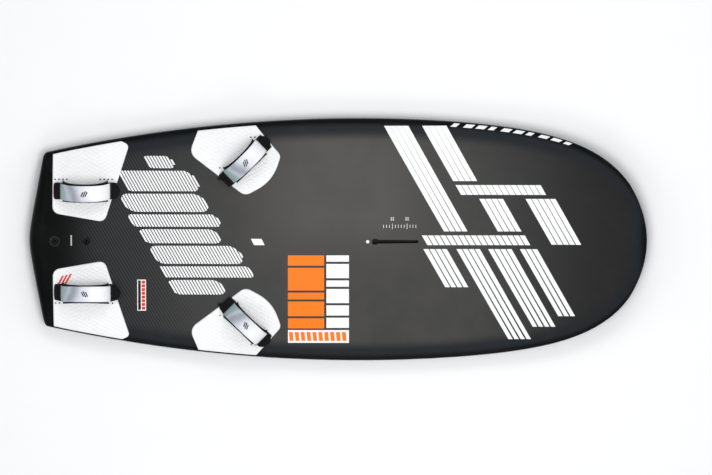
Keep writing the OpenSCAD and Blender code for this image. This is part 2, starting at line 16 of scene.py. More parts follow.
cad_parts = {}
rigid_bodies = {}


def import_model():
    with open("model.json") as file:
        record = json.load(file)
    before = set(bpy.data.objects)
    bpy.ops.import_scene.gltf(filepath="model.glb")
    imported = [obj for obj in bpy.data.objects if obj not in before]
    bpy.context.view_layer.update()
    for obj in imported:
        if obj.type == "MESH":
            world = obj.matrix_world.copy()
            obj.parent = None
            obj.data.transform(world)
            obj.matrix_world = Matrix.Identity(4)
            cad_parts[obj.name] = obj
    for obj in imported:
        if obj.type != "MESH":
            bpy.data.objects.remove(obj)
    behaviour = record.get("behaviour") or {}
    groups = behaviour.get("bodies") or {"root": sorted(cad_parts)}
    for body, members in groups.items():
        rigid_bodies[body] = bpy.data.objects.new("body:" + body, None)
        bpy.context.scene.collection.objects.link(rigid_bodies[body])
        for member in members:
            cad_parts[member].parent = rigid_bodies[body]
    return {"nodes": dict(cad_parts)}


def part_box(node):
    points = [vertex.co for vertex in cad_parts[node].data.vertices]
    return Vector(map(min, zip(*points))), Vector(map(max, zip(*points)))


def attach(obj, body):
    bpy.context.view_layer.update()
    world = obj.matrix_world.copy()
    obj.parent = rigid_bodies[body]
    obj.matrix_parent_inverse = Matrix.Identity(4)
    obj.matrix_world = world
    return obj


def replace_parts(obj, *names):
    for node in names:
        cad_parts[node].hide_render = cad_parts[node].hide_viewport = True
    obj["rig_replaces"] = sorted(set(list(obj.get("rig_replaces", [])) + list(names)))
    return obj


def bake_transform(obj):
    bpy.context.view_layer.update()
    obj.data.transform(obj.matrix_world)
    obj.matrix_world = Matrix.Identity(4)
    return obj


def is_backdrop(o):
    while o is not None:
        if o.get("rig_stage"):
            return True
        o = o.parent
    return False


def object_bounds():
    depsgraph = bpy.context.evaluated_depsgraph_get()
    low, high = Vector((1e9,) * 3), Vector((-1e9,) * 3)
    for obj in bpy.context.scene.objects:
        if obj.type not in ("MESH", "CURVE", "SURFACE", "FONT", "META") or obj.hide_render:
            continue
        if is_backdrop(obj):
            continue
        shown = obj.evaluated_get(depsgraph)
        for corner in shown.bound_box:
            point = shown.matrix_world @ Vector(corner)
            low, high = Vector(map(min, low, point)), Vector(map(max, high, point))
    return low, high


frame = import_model()
cad_low, cad_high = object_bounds()
print("board in the frame, metres:", [round(x, 3) for x in cad_high - cad_low])

# %% [markdown]
# ## Camera, lights and floor
# The camera looks down from almost straight above and leans a few degrees to the port side, so
# the strap tops shift a little to starboard. A long lens from far away keeps the outline's true
# proportions, where a short lens close by would swell the middle. One big soft box over the middle
# gives a satin deck its broad sheen and leaves the tail and the nose dark, because a glossy dark
# surface shows little but what it mirrors. Low soft boxes around the sides lift the floor, the
# pads and the straps, and hardly show in the deck.

# %% Camera
TILT = math.radians(7.6)
AIM = Vector((0.0625, 0.013, 0.09))
LENS, SENSOR_W = 400, 36
SEEN_WIDTH = 2.4766


def add_camera():
    """Puts the camera far away along its tilt, and gives back how far."""
    data = bpy.data.cameras.new("studio_camera")
    data.lens = LENS
    data.sensor_width = SENSOR_W
    data.clip_end = 60
    camera = bpy.data.objects.new("studio_camera", data)
    bpy.context.scene.collection.objects.link(camera)
    back = Vector((0, math.sin(TILT), math.cos(TILT)))
    up = Vector((0, math.cos(TILT), -math.sin(TILT)))
    turn = Matrix((Vector((1, 0, 0)), up, back)).transposed()
    far = SEEN_WIDTH*LENS/SENSOR_W
    camera.matrix_world = Matrix.Translation(AIM + back*far) @ turn.to_4x4()
    bpy.context.scene.camera = camera
    return far


print("camera distance:", round(add_camera(), 2))

# %% Lights
bpy.context.scene.view_settings.view_transform = "Standard"


def soft_box(name, place, size, power, target=(0, 0, 0)):
    """One rectangular studio light that faces its target."""
    data = bpy.data.lights.new(name, "AREA")
    data.shape = "RECTANGLE"
    data.size, data.size_y = size
    data.energy = power
    lamp = bpy.data.objects.new(name, data)
    lamp.location = place
    lamp.rotation_euler = (Vector(target) - Vector(place)).to_track_quat("-Z", "Y").to_euler()
    bpy.context.scene.collection.objects.link(lamp)


soft_box("box_overhead", (0.25, -0.45, 4.4), (1.7, 2.4), 88, (0.1, 0, 0))
soft_box("box_port", (0.3, 3.6, 4.2), (4.0, 1.6), 66)
soft_box("box_starboard", (0.0, -4.2, 3.6), (4.0, 1.6), 44)
soft_box("box_nose", (4.6, 0.6, 3.2), (1.6, 3.0), 30)
soft_box("box_tail", (-4.8, 0.0, 3.2), (1.6, 3.0), 30)

world = bpy.data.worlds.new("studio_air")
world.use_nodes = True
world.node_tree.nodes["Background"].inputs["Color"].default_value = (0.94, 0.96, 1.0, 1)
world.node_tree.nodes["Background"].inputs["Strength"].default_value = 0.42
bpy.context.scene.world = world

# %% [markdown]
# ## Effects shared by the finishes
# Grain, cloth weave, pinstripes, dust and edge wear each appear in several finishes, so each one
# is a small shader group that is built once. A group only puts out a mask, a value or a colour;
# the shader itself stays in each material.

# %% Helpers for groups and materials


def new_group(name, inputs, outputs):
    """A shader node group with float, vector or colour sockets."""
    group = bpy.data.node_groups.new(name, "ShaderNodeTree")
    for label, kind, value in inputs:
        socket = group.interface.new_socket(label, in_out="INPUT", socket_type=kind)
        if value is not None:
            socket.default_value = value
    for label, kind in outputs:
        group.interface.new_socket(label, in_out="OUTPUT", socket_type=kind)
    start = group.nodes.new("NodeGroupInput")
    end = group.nodes.new("NodeGroupOutput")
    return group, start.outputs, end.inputs


def math_node(tree, operation, *values, clamp=False):
    """One Math node; each value is a number or another node's output."""
    node = tree.nodes.new("ShaderNodeMath")
    node.operation = operation
    node.use_clamp = clamp
    for socket, value in zip(node.inputs, values):
        if isinstance(value, (int, float)):
            socket.default_value = value
        else:
            tree.links.new(value, socket)
    return node.outputs[0]


def map_range(tree, value, low, high, to_low=0.0, to_high=1.0):
    """A smooth step from one number to another as the value goes from low to high."""
    node = tree.nodes.new("ShaderNodeMapRange")
    node.interpolation_type = "SMOOTHSTEP"
    tree.links.new(value, node.inputs["Value"])
    for label, number in (("From Min", low), ("From Max", high),
                          ("To Min", to_low), ("To Max", to_high)):
        node.inputs[label].default_value = number
    return node.outputs[0]


def noise(tree, place, scale, detail=3.0, roughness=0.55):
    """Cloudy noise between 0 and 1."""
    node = tree.nodes.new("ShaderNodeTexNoise")
    tree.links.new(place, node.inputs["Vector"])
    if isinstance(scale, (int, float)):
        node.inputs["Scale"].default_value = scale
    else:
        tree.links.new(scale, node.inputs["Scale"])
    node.inputs["Detail"].default_value = detail
    node.inputs["Roughness"].default_value = roughness
    return node.outputs["Fac"]


def split_xyz(tree, vector):
    """The three numbers of a vector."""
    node = tree.nodes.new("ShaderNodeSeparateXYZ")
    tree.links.new(vector, node.inputs[0])
    return node.outputs


# %% Grain and weave
FLOAT = "NodeSocketFloat"
VECTOR = "NodeSocketVector"


def grain_group():
    """Fine grain for small bumps, and a broad mottle for uneven colour."""
    group, take, give = new_group(
        "Fine grain", [("Place", VECTOR, None), ("Grains per metre", FLOAT, 900.0)],
        [("Height", FLOAT), ("Mottle", FLOAT)])
    fine = noise(group, take["Place"], take["Grains per metre"], 2.0)
    coarse = noise(group, take["Place"], 9.0, 4.0)
    group.links.new(fine, give["Height"])
    group.links.new(coarse, give["Mottle"])
    return group


def weave_group():
    """Threads that go over and under each other, and the gaps between them."""
    group, take, give = new_group(
        "Plain weave", [("Along", VECTOR, None), ("Threads per metre", FLOAT, 1500.0)],
        [("Height", FLOAT), ("Gap", FLOAT)])
    axes = split_xyz(group, take["Along"])
    turns = math_node(group, "MULTIPLY", take["Threads per metre"], math.pi)
    warp = math_node(group, "SINE", math_node(group, "MULTIPLY", axes[0], turns))
    weft = math_node(group, "SINE", math_node(group, "MULTIPLY", axes[1], turns))
    over = math_node(group, "MULTIPLY", warp, weft)
    height = math_node(group, "MULTIPLY_ADD", over, 0.5, 0.5)
    gap = math_node(group, "MULTIPLY", math_node(group, "ABSOLUTE", warp),
                    math_node(group, "ABSOLUTE", weft))
    group.links.new(height, give["Height"])
    group.links.new(gap, give["Gap"])
    return group


# %% Pinstripes


def pinstripe_group():
    """Thin parallel lines that lean, with a chosen pitch and width."""
    group, take, give = new_group(
        "Slanted pinstripes",
        [("Place", VECTOR, None), ("Lean X", FLOAT, 0.866), ("Lean Y", FLOAT, 0.5),
         ("Pitch", FLOAT, 0.0094), ("Line share", FLOAT, 0.35)],
        [("Mask", FLOAT), ("Across", FLOAT)])
    axes = split_xyz(group, take["Place"])
    across = math_node(group, "ADD", math_node(group, "MULTIPLY", axes[0], take["Lean X"]),
                       math_node(group, "MULTIPLY", axes[1], take["Lean Y"]))
    phase = math_node(group, "FRACT", math_node(group, "DIVIDE", across, take["Pitch"]))
    line = math_node(group, "LESS_THAN", phase, take["Line share"])
    group.links.new(line, give["Mask"])
    group.links.new(across, give["Across"])
    return group


# %% Dust and edge wear


def dust_group():
    """Specks of dust that gather in clouds."""
    group, take, give = new_group(
        "Light dust", [("Place", VECTOR, None), ("Amount", FLOAT, 0.3)], [("Mask", FLOAT)])
    cloud = noise(group, take["Place"], 14.0, 6.0, 0.62)
    speck = noise(group, take["Place"], 420.0, 2.0, 0.5)
    both = math_node(group, "MULTIPLY", map_range(group, cloud, 0.42, 0.75),
                     map_range(group, speck, 0.5, 0.72))
    group.links.new(math_node(group, "MULTIPLY", both, take["Amount"]), give["Mask"])
    return group


def wear_group():
    """Worn patches along sharp edges."""
    group, take, give = new_group(
        "Edge wear", [("Place", VECTOR, None), ("Amount", FLOAT, 0.5)], [("Mask", FLOAT)])
    shape = group.nodes.new("ShaderNodeNewGeometry")
    edge = map_range(group, shape.outputs["Pointiness"], 0.51, 0.56)
    broken = map_range(group, noise(group, take["Place"], 160.0, 4.0), 0.4, 0.7)
    worn = math_node(group, "MULTIPLY", edge, broken)
    group.links.new(math_node(group, "MULTIPLY", worn, take["Amount"]), give["Mask"])
    return group


# %% Build each effect once
GROUPS = {"grain": grain_group(), "weave": weave_group(), "pinstripes": pinstripe_group(),
          "dust": dust_group(), "wear": wear_group()}
print("effect groups:", ", ".join(GROUPS))

# %% [markdown]
# ## A bench for mixing finishes
# Every finish starts from one Principled shader and the place of each point on the object.
# The bench below keeps those two together and offers the few moves that a painter needs: lay
# one colour over another through a mask, place a shared effect, and raise or dent the surface.

# %% The bench


class Finish:
    """One material under work: its shader, and the short moves that build it."""

    def __init__(self, name, base, roughness, **constants):
        self.material = bpy.data.materials.new(name)
        self.material.use_nodes = True
        self.tree = self.material.node_tree
        self.shader = self.tree.nodes["Principled BSDF"]
        self.place = self.tree.nodes.new("ShaderNodeTexCoord").outputs["Object"]
        self.colour = None
        self.base = (*base, 1)
        self.shader.inputs["Base Color"].default_value = self.base
        self.shader.inputs["Roughness"].default_value = roughness
        for label, value in constants.items():
            self.shader.inputs[label.replace("_", " ")].default_value = value
        self.material.diffuse_color = self.base

    def effect(self, group, **settings):
        node = self.tree.nodes.new("ShaderNodeGroup")
        node.node_tree = GROUPS[group]
        for socket in node.inputs:
            if socket.name == "Place":
                self.tree.links.new(self.place, socket)
        for label, value in settings.items():
            socket = node.inputs[label.replace("_", " ")]
            if isinstance(value, (int, float)):
                socket.default_value = value
            else:
                self.tree.links.new(value, socket)
        return node.outputs

    def attribute(self, name):
        node = self.tree.nodes.new("ShaderNodeAttribute")
        node.attribute_name = name
        return node.outputs

    def lay(self, colour, mask, strength=1.0):
        """Lays a colour over what is there, where the mask is 1."""
        node = self.tree.nodes.new("ShaderNodeMix")
        node.data_type = "RGBA"
        share = math_node(self.tree, "MULTIPLY", mask, strength, clamp=True)
        self.tree.links.new(share, node.inputs[0])
        if self.colour is None:
            node.inputs[6].default_value = self.base
        else:
            self.tree.links.new(self.colour, node.inputs[6])
        node.inputs[7].default_value = (*colour, 1)
        self.colour = node.outputs[2]
        self.tree.links.new(self.colour, self.shader.inputs["Base Color"])

    def rough(self, value, low, high):
        node = self.tree.nodes.new("ShaderNodeMapRange")
        self.tree.links.new(value, node.inputs["Value"])
        node.inputs["To Min"].default_value = low
        node.inputs["To Max"].default_value = high
        self.tree.links.new(node.outputs[0], self.shader.inputs["Roughness"])

    def bump(self, height, distance, strength=1.0):
        node = self.tree.nodes.new("ShaderNodeBump")
        node.inputs["Distance"].default_value = distance
        node.inputs["Strength"].default_value = strength
        self.tree.links.new(height, node.inputs["Height"])
        self.tree.links.new(node.outputs[0], self.shader.inputs["Normal"])


# %% [markdown]
# ## Mesh tools
# Most pieces here are one of two things: a sheet with a front and a back, or a ring carried
# along a path. Both are lists of points that neighbour each other in a grid, so two short
# functions make every such piece as a closed mesh.

# %% A piece from points and faces


def make_piece(name, points, faces, finish, body, smooth_below=40):
    """A mesh object with its finish, riding on a body of the frame when one is named."""
    mesh = bpy.data.meshes.new(name)
    mesh.from_pydata(np.asarray(points).tolist(), [], faces)
    mesh.validate()
    mesh.shade_smooth()
    mesh.set_sharp_from_angle(angle=math.radians(smooth_below))
    mesh.materials.append(finish)
    piece = bpy.data.objects.new(name, mesh)
    bpy.context.scene.collection.objects.link(piece)
    if body:
        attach(piece, body)
    return piece


# %% Closed sheets


def sheet_faces(rows, cols):
    """Faces of a closed sheet: the front grid first, then the back grid, then the walls."""
    i, k = np.meshgrid(np.arange(rows - 1), np.arange(cols - 1), indexing="ij")
    a = (i*cols + k).ravel()
    front = np.stack([a, a + cols, a + cols + 1, a + 1], axis=1)
    back = front[:, ::-1] + rows*cols
    rim = np.concatenate([
        np.arange(cols), np.arange(1, rows)*cols + cols - 1,
        (rows - 1)*cols + np.arange(cols - 2, -1, -1), np.arange(rows - 2, 0, -1)*cols])
    after = np.roll(rim, -1)
    wall = np.stack([rim, after, after + rows*cols, rim + rows*cols], axis=1)
    return np.concatenate([front, back, wall])


def join_sheets(sheets):
    """Points and faces of several closed sheets, each a pair of front and back grids."""
    points, faces, count = [], [], 0
    for front, back in sheets:
        rows, cols = front.shape[:2]
        points += [front.reshape(-1, 3), back.reshape(-1, 3)]
        faces += (sheet_faces(rows, cols) + count).tolist()
        count += 2*rows*cols
    return np.concatenate(points), faces


# %% Closed rings and mirrored pieces


def ring_faces(rows, around):
    """Faces of rings carried along a path, closed at both ends."""
    i, k = np.meshgrid(np.arange(rows - 1), np.arange(around), indexing="ij")
    a = (i*around + k).ravel()
    b = (i*around + (k + 1) % around).ravel()
    side = np.stack([a, b, b + around, a + around], axis=1).tolist()
    return side + [list(range(around))[::-1], list(range((rows - 1)*around, rows*around))]


def flip_side(points, side):
    """Points of the port side, mirrored when the piece is the starboard one."""
    return points*np.array([1, 1 if side == "port" else -1, 1])


def faces_for(faces, side):
    """Faces that look outward on either side, because a mirrored piece is turned inside out."""
    return faces if side == "port" else [list(f)[::-1] for f in faces]


# %% [markdown]
# ## The curves of the board
# The deck and the bottom are smooth moulded skins. Their curves are the CAD model's own, so
# the finished skins lie exactly where the CAD says, only with many more points: the outline,
# the rise of the nose, the thickness, and a rounded section that is fuller underneath.

# %% Sizes of the moulded shape
BOARD_L = cad_high.x - cad_low.x
BOARD_W = round(cad_high.y - cad_low.y, 3)
WIDE_AT = 1.150
TAIL_W, TAIL_V, TAIL_V_SOFT, TAIL_BLEND, TAIL_CORNER = 0.584, 0.047, 0.17, 0.2, 0.028
NOSE_CAP, NOSE_FULL, NOSE_BLEND = 0.06, 0.48, 0.5
BOARD_T, TAIL_T, NOSE_T, THICK_AT, THICK_END = 0.104, 0.092, 0.058, 0.9, 1.2
NOSE_ROCKER, FLAT_L, ROCKER_POWER = 0.066, 1.3, 2.2
RAIL_APEX, DECK_CROWN, KEEL_CROWN, NOSE_KEEL_CROWN = 0.42, 2.7, 5.0, 3.0
TAIL_ROUND, NOSE_ROUND, KEEL_ROUND, NOSE_KEEL_ROUND, ROUND_POWER = 0.04, 0.15, 0.012, 0.11, 2.4
PLANE_CUT = 0.001
END_U = BOARD_L - NOSE_CAP
print("board length and width:", round(BOARD_L, 3), BOARD_W)

# %% Outline and thickness


def half_width(u):
    """Half of the width at a distance from the tail."""
    u = np.asarray(u, float)
    share = np.clip((u - WIDE_AT)/(BOARD_L - WIDE_AT), 0, 1)
    aft = BOARD_W/2 - (BOARD_W - TAIL_W)/2*(np.clip(WIDE_AT - u, 0, None)/WIDE_AT)**2
    fore = np.sqrt(np.clip(1 - NOSE_FULL*share**2 - (1 - NOSE_FULL)*share**6, 0, None))
    return np.where(u < WIDE_AT, aft, BOARD_W/2*fore)


def rocker(u):
    """How far the bottom rises towards the nose."""
    return NOSE_ROCKER*(np.clip(u - FLAT_L, 0, None)/(BOARD_L - FLAT_L))**ROCKER_POWER


def thickness(u):
    """Thickness of the board at a distance from the tail."""
    u = np.asarray(u, float)
    s = np.clip(u/THICK_AT, 0, 1)
    aft = TAIL_T + (BOARD_T - TAIL_T)*s*s*(3 - 2*s)
    late = np.clip(u - THICK_END, 0, None)/(BOARD_L - THICK_END)
    return np.where(u < THICK_AT, aft, BOARD_T - (BOARD_T - NOSE_T)*late**2)


def rail_height(u):
    """Height of the rail's widest line."""
    return rocker(u) + RAIL_APEX*thickness(u)


# %% Rounded section and rolled ends


def crown(share, power):
    """Height share of a rounded section at a share of its half width."""
    return np.clip(1 - np.abs(share)**power, 0, None)**(1/power)


def roll_over(s):
    """Height share of an end that rolls over, from 0 at its edge to 1."""
    s = np.clip(s, 0, 1)
    return (1 - (1 - s)**ROUND_POWER)**(1/ROUND_POWER)


def skin_xy(s, share, out):
    """Plan position of a point of a skin: s runs along the board, share across it."""
    fade = np.clip(1 - s/TAIL_BLEND, 0, None)**2
    soft = (np.sqrt(share**2 + TAIL_V_SOFT**2) - TAIL_V_SOFT)
    vee = soft/(math.sqrt(1 + TAIL_V_SOFT**2) - TAIL_V_SOFT)
    cap = NOSE_CAP*(1 - share**2)*np.clip(1 - (END_U - s)/NOSE_BLEND, 0, None)**2
    near = np.clip(TAIL_CORNER - s, 0, None)
    corner = TAIL_CORNER - np.sqrt(TAIL_CORNER**2 - near**2)
    x = s + TAIL_V*vee*fade + cap + out*(2*s/END_U - 1) - BOARD_L/2
    return x, share*(half_width(s + TAIL_V*fade) - np.where(near > 0, corner, 0) + out)


# %% The two moulded surfaces


def deck_points(s, share, out=0.0):
    """Points of the deck, moved outward by out; s and share are as in skin_xy."""
    x, y = skin_xy(s, share, out)
    low, high = rail_height(s), rocker(s) + thickness(s) + out
    rolled = roll_over(s/TAIL_ROUND)*roll_over((END_U - s)/NOSE_ROUND)
    return np.stack([x, y, low + (high - low)*crown(share, DECK_CROWN)*rolled], axis=-1)


def hull_points(s, share, out=0.0):
    """Points of the bottom, laid out like the deck's."""
    x, y = skin_xy(s, share, out)
    fore = np.clip((s - FLAT_L)/(BOARD_L - FLAT_L), 0, 1)
    power = KEEL_CROWN + (NOSE_KEEL_CROWN - KEEL_CROWN)*fore
    low, high = rocker(s) - PLANE_CUT - out, rail_height(s)
    rolled = roll_over(s/KEEL_ROUND)*roll_over((END_U - s)/NOSE_KEEL_ROUND)
    z = high - (high - low)*crown(share, power)*rolled
    return np.stack([x, y, np.maximum(z, 0 if out >= 0 else -out)], axis=-1)


def deck_z(u, y):
    """Height of the deck at a distance from the tail and across."""
    return rail_height(u) + (rocker(u) + thickness(u) - rail_height(u))*crown(
        y/half_width(u), DECK_CROWN)


def stations(tail_round, nose_round, middle):
    """Places along the board, closer together where the ends roll over."""
    quarter = np.linspace(0, math.pi/2, 15)
    return np.concatenate([
        tail_round*(1 - np.cos(quarter)),
        np.linspace(tail_round, END_U - nose_round, middle)[1:-1],
        END_U - nose_round*(1 - np.sin(quarter))])


# %% Places over the width
ACROSS = np.sin(np.linspace(-math.pi/2, math.pi/2, 81))
print("width at the tail and the middle:", half_width(0.0)*2, half_width(WIDE_AT)*2)

# %% [markdown]
# ## Deck finish
# The deck is a satin dark grey paint over carbon cloth. The cloth shows as a very faint weave,
# the rails fade into blue-black, partly their own dark paint and partly painted shade over the
# roll into them, the tail is nearly black, and thin grey pinstripes run over the tail. Painted
# light is laid into the colour as well: a painted sheen amidships on the port side and painted
# shade towards the nose. A satin paint isn't even: it has a broad mottle and fine specks of
# dust, which break up the sheen.

# %% Deck and bottom paint


def deck_paint():
    """Satin grey over carbon cloth, darker at the tail; a painted sheen amidships to port, painted
    shade at the nose, and at the rails their dark paint with painted shade over the roll.
    """
    deck = Finish("deck_satin", (0.056, 0.055, 0.053), 0.46, Specular_IOR_Level=0.05)
    tree = deck.tree
    x, y = split_xyz(tree, deck.place)[:2]
    grain = deck.effect("grain", Grains_per_metre=1400.0)
    weave = deck.effect("weave", Along=deck.place, Threads_per_metre=420.0)
    # Painted sheen: a lighter patch amidships on the port side, where the overhead soft box would
    # mirror in the deck.
    middle = math_node(tree, "MULTIPLY", map_range(tree, x, -0.42, -0.08),
                       map_range(tree, x, 0.12, 0.42, 1.0, 0.0))
    port = math_node(tree, "MULTIPLY", middle, map_range(tree, y, -0.15, 0.12))
    deck.lay((0.102, 0.096, 0.088), port, 0.85)
    deck.lay((0.076, 0.073, 0.069), map_range(tree, grain["Mottle"], 0.38, 0.68), 0.4)
    deck.lay((0.026, 0.026, 0.025), weave["Gap"], 0.22)
    deck.lay((0.018, 0.019, 0.020), map_range(tree, x, -0.78, -0.28, 1.0, 0.0), 0.92)
    deck.lay((0.002, 0.0024, 0.0022), map_range(tree, x, -1.03, -0.78, 1.0, 0.0), 0.96)
    stripes = deck.effect("pinstripes", Line_share=0.36)
    fade_out = map_range(tree, stripes["Across"], -0.40, -0.22, 1.0, 0.0)
    fade_in = map_range(tree, x, -0.99, -0.78)
    lines = math_node(tree, "MULTIPLY", stripes["Mask"],
                      math_node(tree, "MULTIPLY", fade_out, fade_in))
    deck.lay((0.058, 0.058, 0.060), lines, 0.6)
    # Painted shade towards the nose, where the deck mirrors less of the lights.
    deck.lay((0.013, 0.013, 0.014), map_range(tree, x, 0.36, 0.94), 0.9)
    # Darker towards the rail: the rail's own near-black paint, with painted shade where the deck
    # rolls over into it.
    rail = deck.attribute("from_rail")["Fac"]
    deck.lay((0.015, 0.018, 0.022), map_range(tree, rail, 0.036, 0.080, 1.0, 0.0), 0.92)
    deck.lay((0.0012, 0.002, 0.0022), map_range(tree, rail, 0.004, 0.030, 1.0, 0.0), 0.95)
    deck.lay((0.0012, 0.0016, 0.0014), map_range(tree, x, -1.045, -0.84, 1.0, 0.0), 0.9)
    deck.lay((0.16, 0.155, 0.15), deck.effect("dust", Amount=0.10)["Mask"])
    deck.rough(grain["Mottle"], 0.40, 0.54)
    deck.bump(grain["Height"], 0.00006, 0.5)
    return deck.material


def hull_paint():
    """Gloss black with broad grey pinstripes under the nose."""
    hull = Finish("hull_gloss", (0.010, 0.011, 0.013), 0.24, Coat_Weight=0.35,
                  Coat_Roughness=0.12)
    grain = hull.effect("grain", Grains_per_metre=700.0)
    stripes = hull.effect("pinstripes", Line_share=0.45, Pitch=0.03)
    fore = map_range(hull.tree, stripes["Across"], 0.30, 0.75)
    hull.lay((0.022, 0.023, 0.026), map_range(hull.tree, grain["Mottle"], 0.4, 0.7), 0.6)
    hull.lay((0.07, 0.072, 0.078), math_node(hull.tree, "MULTIPLY", stripes["Mask"], fore), 0.8)
    hull.lay((0.14, 0.135, 0.13), hull.effect("dust", Amount=0.2)["Mask"])
    hull.rough(grain["Mottle"], 0.18, 0.32)
    hull.bump(grain["Height"], 0.00003, 0.5)
    return hull.material


DECK_PAINT = deck_paint()
HULL_PAINT = hull_paint()
print("paints:", DECK_PAINT.name, HULL_PAINT.name)

# %% [markdown]
# ## Deck and bottom skins
# On the real board each skin is a sandwich about 4 mm thick, laid in a mould, and the two meet
# along the rail. Here each one is a closed sheet: an outer grid, an inner grid and the walls
# between them. The openings are cut with a boolean, the same way a router cuts them in the
# workshop: the two foil bolt bosses, the mast slot, the vent and the strap plugs above, and the
# foil socket below.

# %% Skins as closed sheets
SKIN_T, MIDDLE_STATIONS = 0.0035, 150


def skin_piece(name, shape, tail_round, nose_round, finish, upward):
    """A skin between the moulded surface and a second one a skin's thickness inside it."""
    s, share = np.meshgrid(stations(tail_round, nose_round, MIDDLE_STATIONS), ACROSS,
                           indexing="ij")
    outer = shape(s, share, 0.0)
    points, faces = join_sheets([(outer, shape(s, share, -SKIN_T))])
    if not upward:
        faces = [f[::-1] for f in faces]
    return make_piece(name, points, faces, finish, None), outer


deck, deck_outer = skin_piece("deck_skin", deck_points, TAIL_ROUND, NOSE_ROUND,
                              DECK_PAINT, True)
hull, _ = skin_piece("hull_skin", hull_points, KEEL_ROUND, NOSE_KEEL_ROUND,
                     HULL_PAINT, False)
print("deck points:", len(deck.data.vertices), "hull points:", len(hull.data.vertices))

# %% A quick way to find the deck under any place
deck_tree = BVHTree.FromPolygons(
    deck_outer.reshape(-1, 3).tolist(),
    [f for f in sheet_faces(*deck_outer.shape[:2]).tolist() if max(f) < deck_outer[..., 0].size])


def drop_on_deck(xy):
    """Points and upward normals of the deck under a list of plan positions."""
    places, normals = [], []
    for x, y in xy:
        hit, normal, _, _ = deck_tree.ray_cast(Vector((x, y, 1)), Vector((0, 0, -1)))
        if hit is None:
            hit, normal, _, _ = deck_tree.find_nearest(Vector((x, y, 0.1)))
        places.append(hit)
        normals.append(normal if normal.z > 0 else -normal)
    return np.array(places), np.array(normals)


# %% Outlines of the openings
FOIL_AT, BOLT_GAP, BOSS_R, GAP = 0.1445, 0.110, 0.019, 0.0002
TRACK_AT, TRACK_L, SLOT_W = 1.193, 0.162, 0.011
ENTRY_W, ENTRY_L, ENTRY_R = 0.020, 0.023, 0.008
VENT_AT, VENT_R = 1.178, 0.008


def rounded_box(length, width, radius, middle=(0, 0), steps=8):
    """Outline of a rounded rectangle, anticlockwise."""
    out = []
    for quarter, (sx, sy) in enumerate(((1, 1), (-1, 1), (-1, -1), (1, -1))):
        for angle in np.linspace(0, math.pi/2, steps) + quarter*math.pi/2:
            out.append((middle[0] + sx*(length/2 - radius) + radius*math.cos(angle),
                        middle[1] + sy*(width/2 - radius) + radius*math.sin(angle)))
    return out


def circle(radius, middle=(0, 0), steps=48):
    """Outline of a circle, anticlockwise."""
    angles = np.linspace(0, 2*math.pi, steps, endpoint=False)
    return [(middle[0] + radius*math.cos(a), middle[1] + radius*math.sin(a)) for a in angles]


def slot_outline():
    """The mast slot: a wide entry at its tail end, then a narrow slot with a round end."""
    x0, r = TRACK_AT - BOARD_L/2, SLOT_W/2
    entry = rounded_box(ENTRY_L, ENTRY_W, ENTRY_R, (x0 + ENTRY_L/2, 0))
    left = [p for p in entry if p[0] < x0 + ENTRY_L - 0.004 or abs(p[1]) > r]
    upper = sorted([p for p in left if p[1] > 0], key=lambda p: (-p[0], p[1]))
    lower = [(x, -y) for x, y in reversed(upper)]
    tip = [(x0 + TRACK_L - r + r*math.cos(a), r*math.sin(a))
           for a in np.linspace(-math.pi/2, math.pi/2, 17)]
    return tip + upper + lower


# %% Cutting with upright prisms


def prism(outline, low, high):
    """Points and faces of an upright prism over an outline."""
    count = len(outline)
    points = [(x, y, z) for z in (low, high) for x, y in outline]
    walls = [[i, (i + 1) % count, count + (i + 1) % count, count + i] for i in range(count)]
    return points, walls + [list(range(count))[::-1], list(range(count, 2*count))]


def cut_openings(piece, outlines, low, high):
    """Cuts every outline through the piece, one prism for each."""
    for outline in outlines:
        points, faces = prism(outline, low, high)
        cutter = make_piece("cutter", points, faces, DECK_PAINT, None)
        cut = piece.modifiers.new("opening", "BOOLEAN")
        cut.operation = "DIFFERENCE"
        cut.solver = "EXACT"
        cut.object = cutter
        evaluated = piece.evaluated_get(bpy.context.evaluated_depsgraph_get())
        mesh = bpy.data.meshes.new_from_object(evaluated)
        piece.modifiers.clear()
        piece.data = mesh
        bpy.data.objects.remove(cutter)
    piece.data.shade_smooth()
    piece.data.set_sharp_from_angle(angle=math.radians(40))


# %% Cut the deck and the bottom
bolt_x = [FOIL_AT + side*BOLT_GAP/2 - BOARD_L/2 for side in (-1, 1)]
plugs = [n for n in frame["nodes"] if n.startswith("plug_")]


def plug_outline(node):
    """Outline of the opening for one strap plug."""
    low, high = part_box(node)
    middle = ((low.x + high.x)/2, (low.y + high.y)/2)
    return rounded_box(high.x - low.x + 2*GAP, high.y - low.y + 2*GAP, 0.005, middle, 5)


cut_openings(deck, [circle(BOSS_R + GAP, (x, 0)) for x in bolt_x] + [slot_outline()]
             + [circle(VENT_R + GAP, (VENT_AT - BOARD_L/2, 0))]
             + [plug_outline(n) for n in plugs], 0.03, 0.3)
foil_low, foil_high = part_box("foil_box")
cut_openings(hull, [rounded_box(foil_high.x - foil_low.x + 3*GAP,
                                foil_high.y - foil_low.y + 3*GAP, 0.008,
                                ((foil_high.x + foil_low.x)/2, 0))], -0.02, 0.03)
print("after cutting:", len(deck.data.vertices), len(hull.data.vertices))

# %% Distance from the rail, kept for the paint
TAIL_STRETCH, NOSE_STRETCH = 1.2, 0.9


def add_attribute(piece, name, values):
    """Keeps one number for each point of a piece, for its finish to read."""
    attribute = piece.data.attributes.new(name, "FLOAT", "POINT")
    attribute.data.foreach_set("value", np.asarray(values, np.float32))


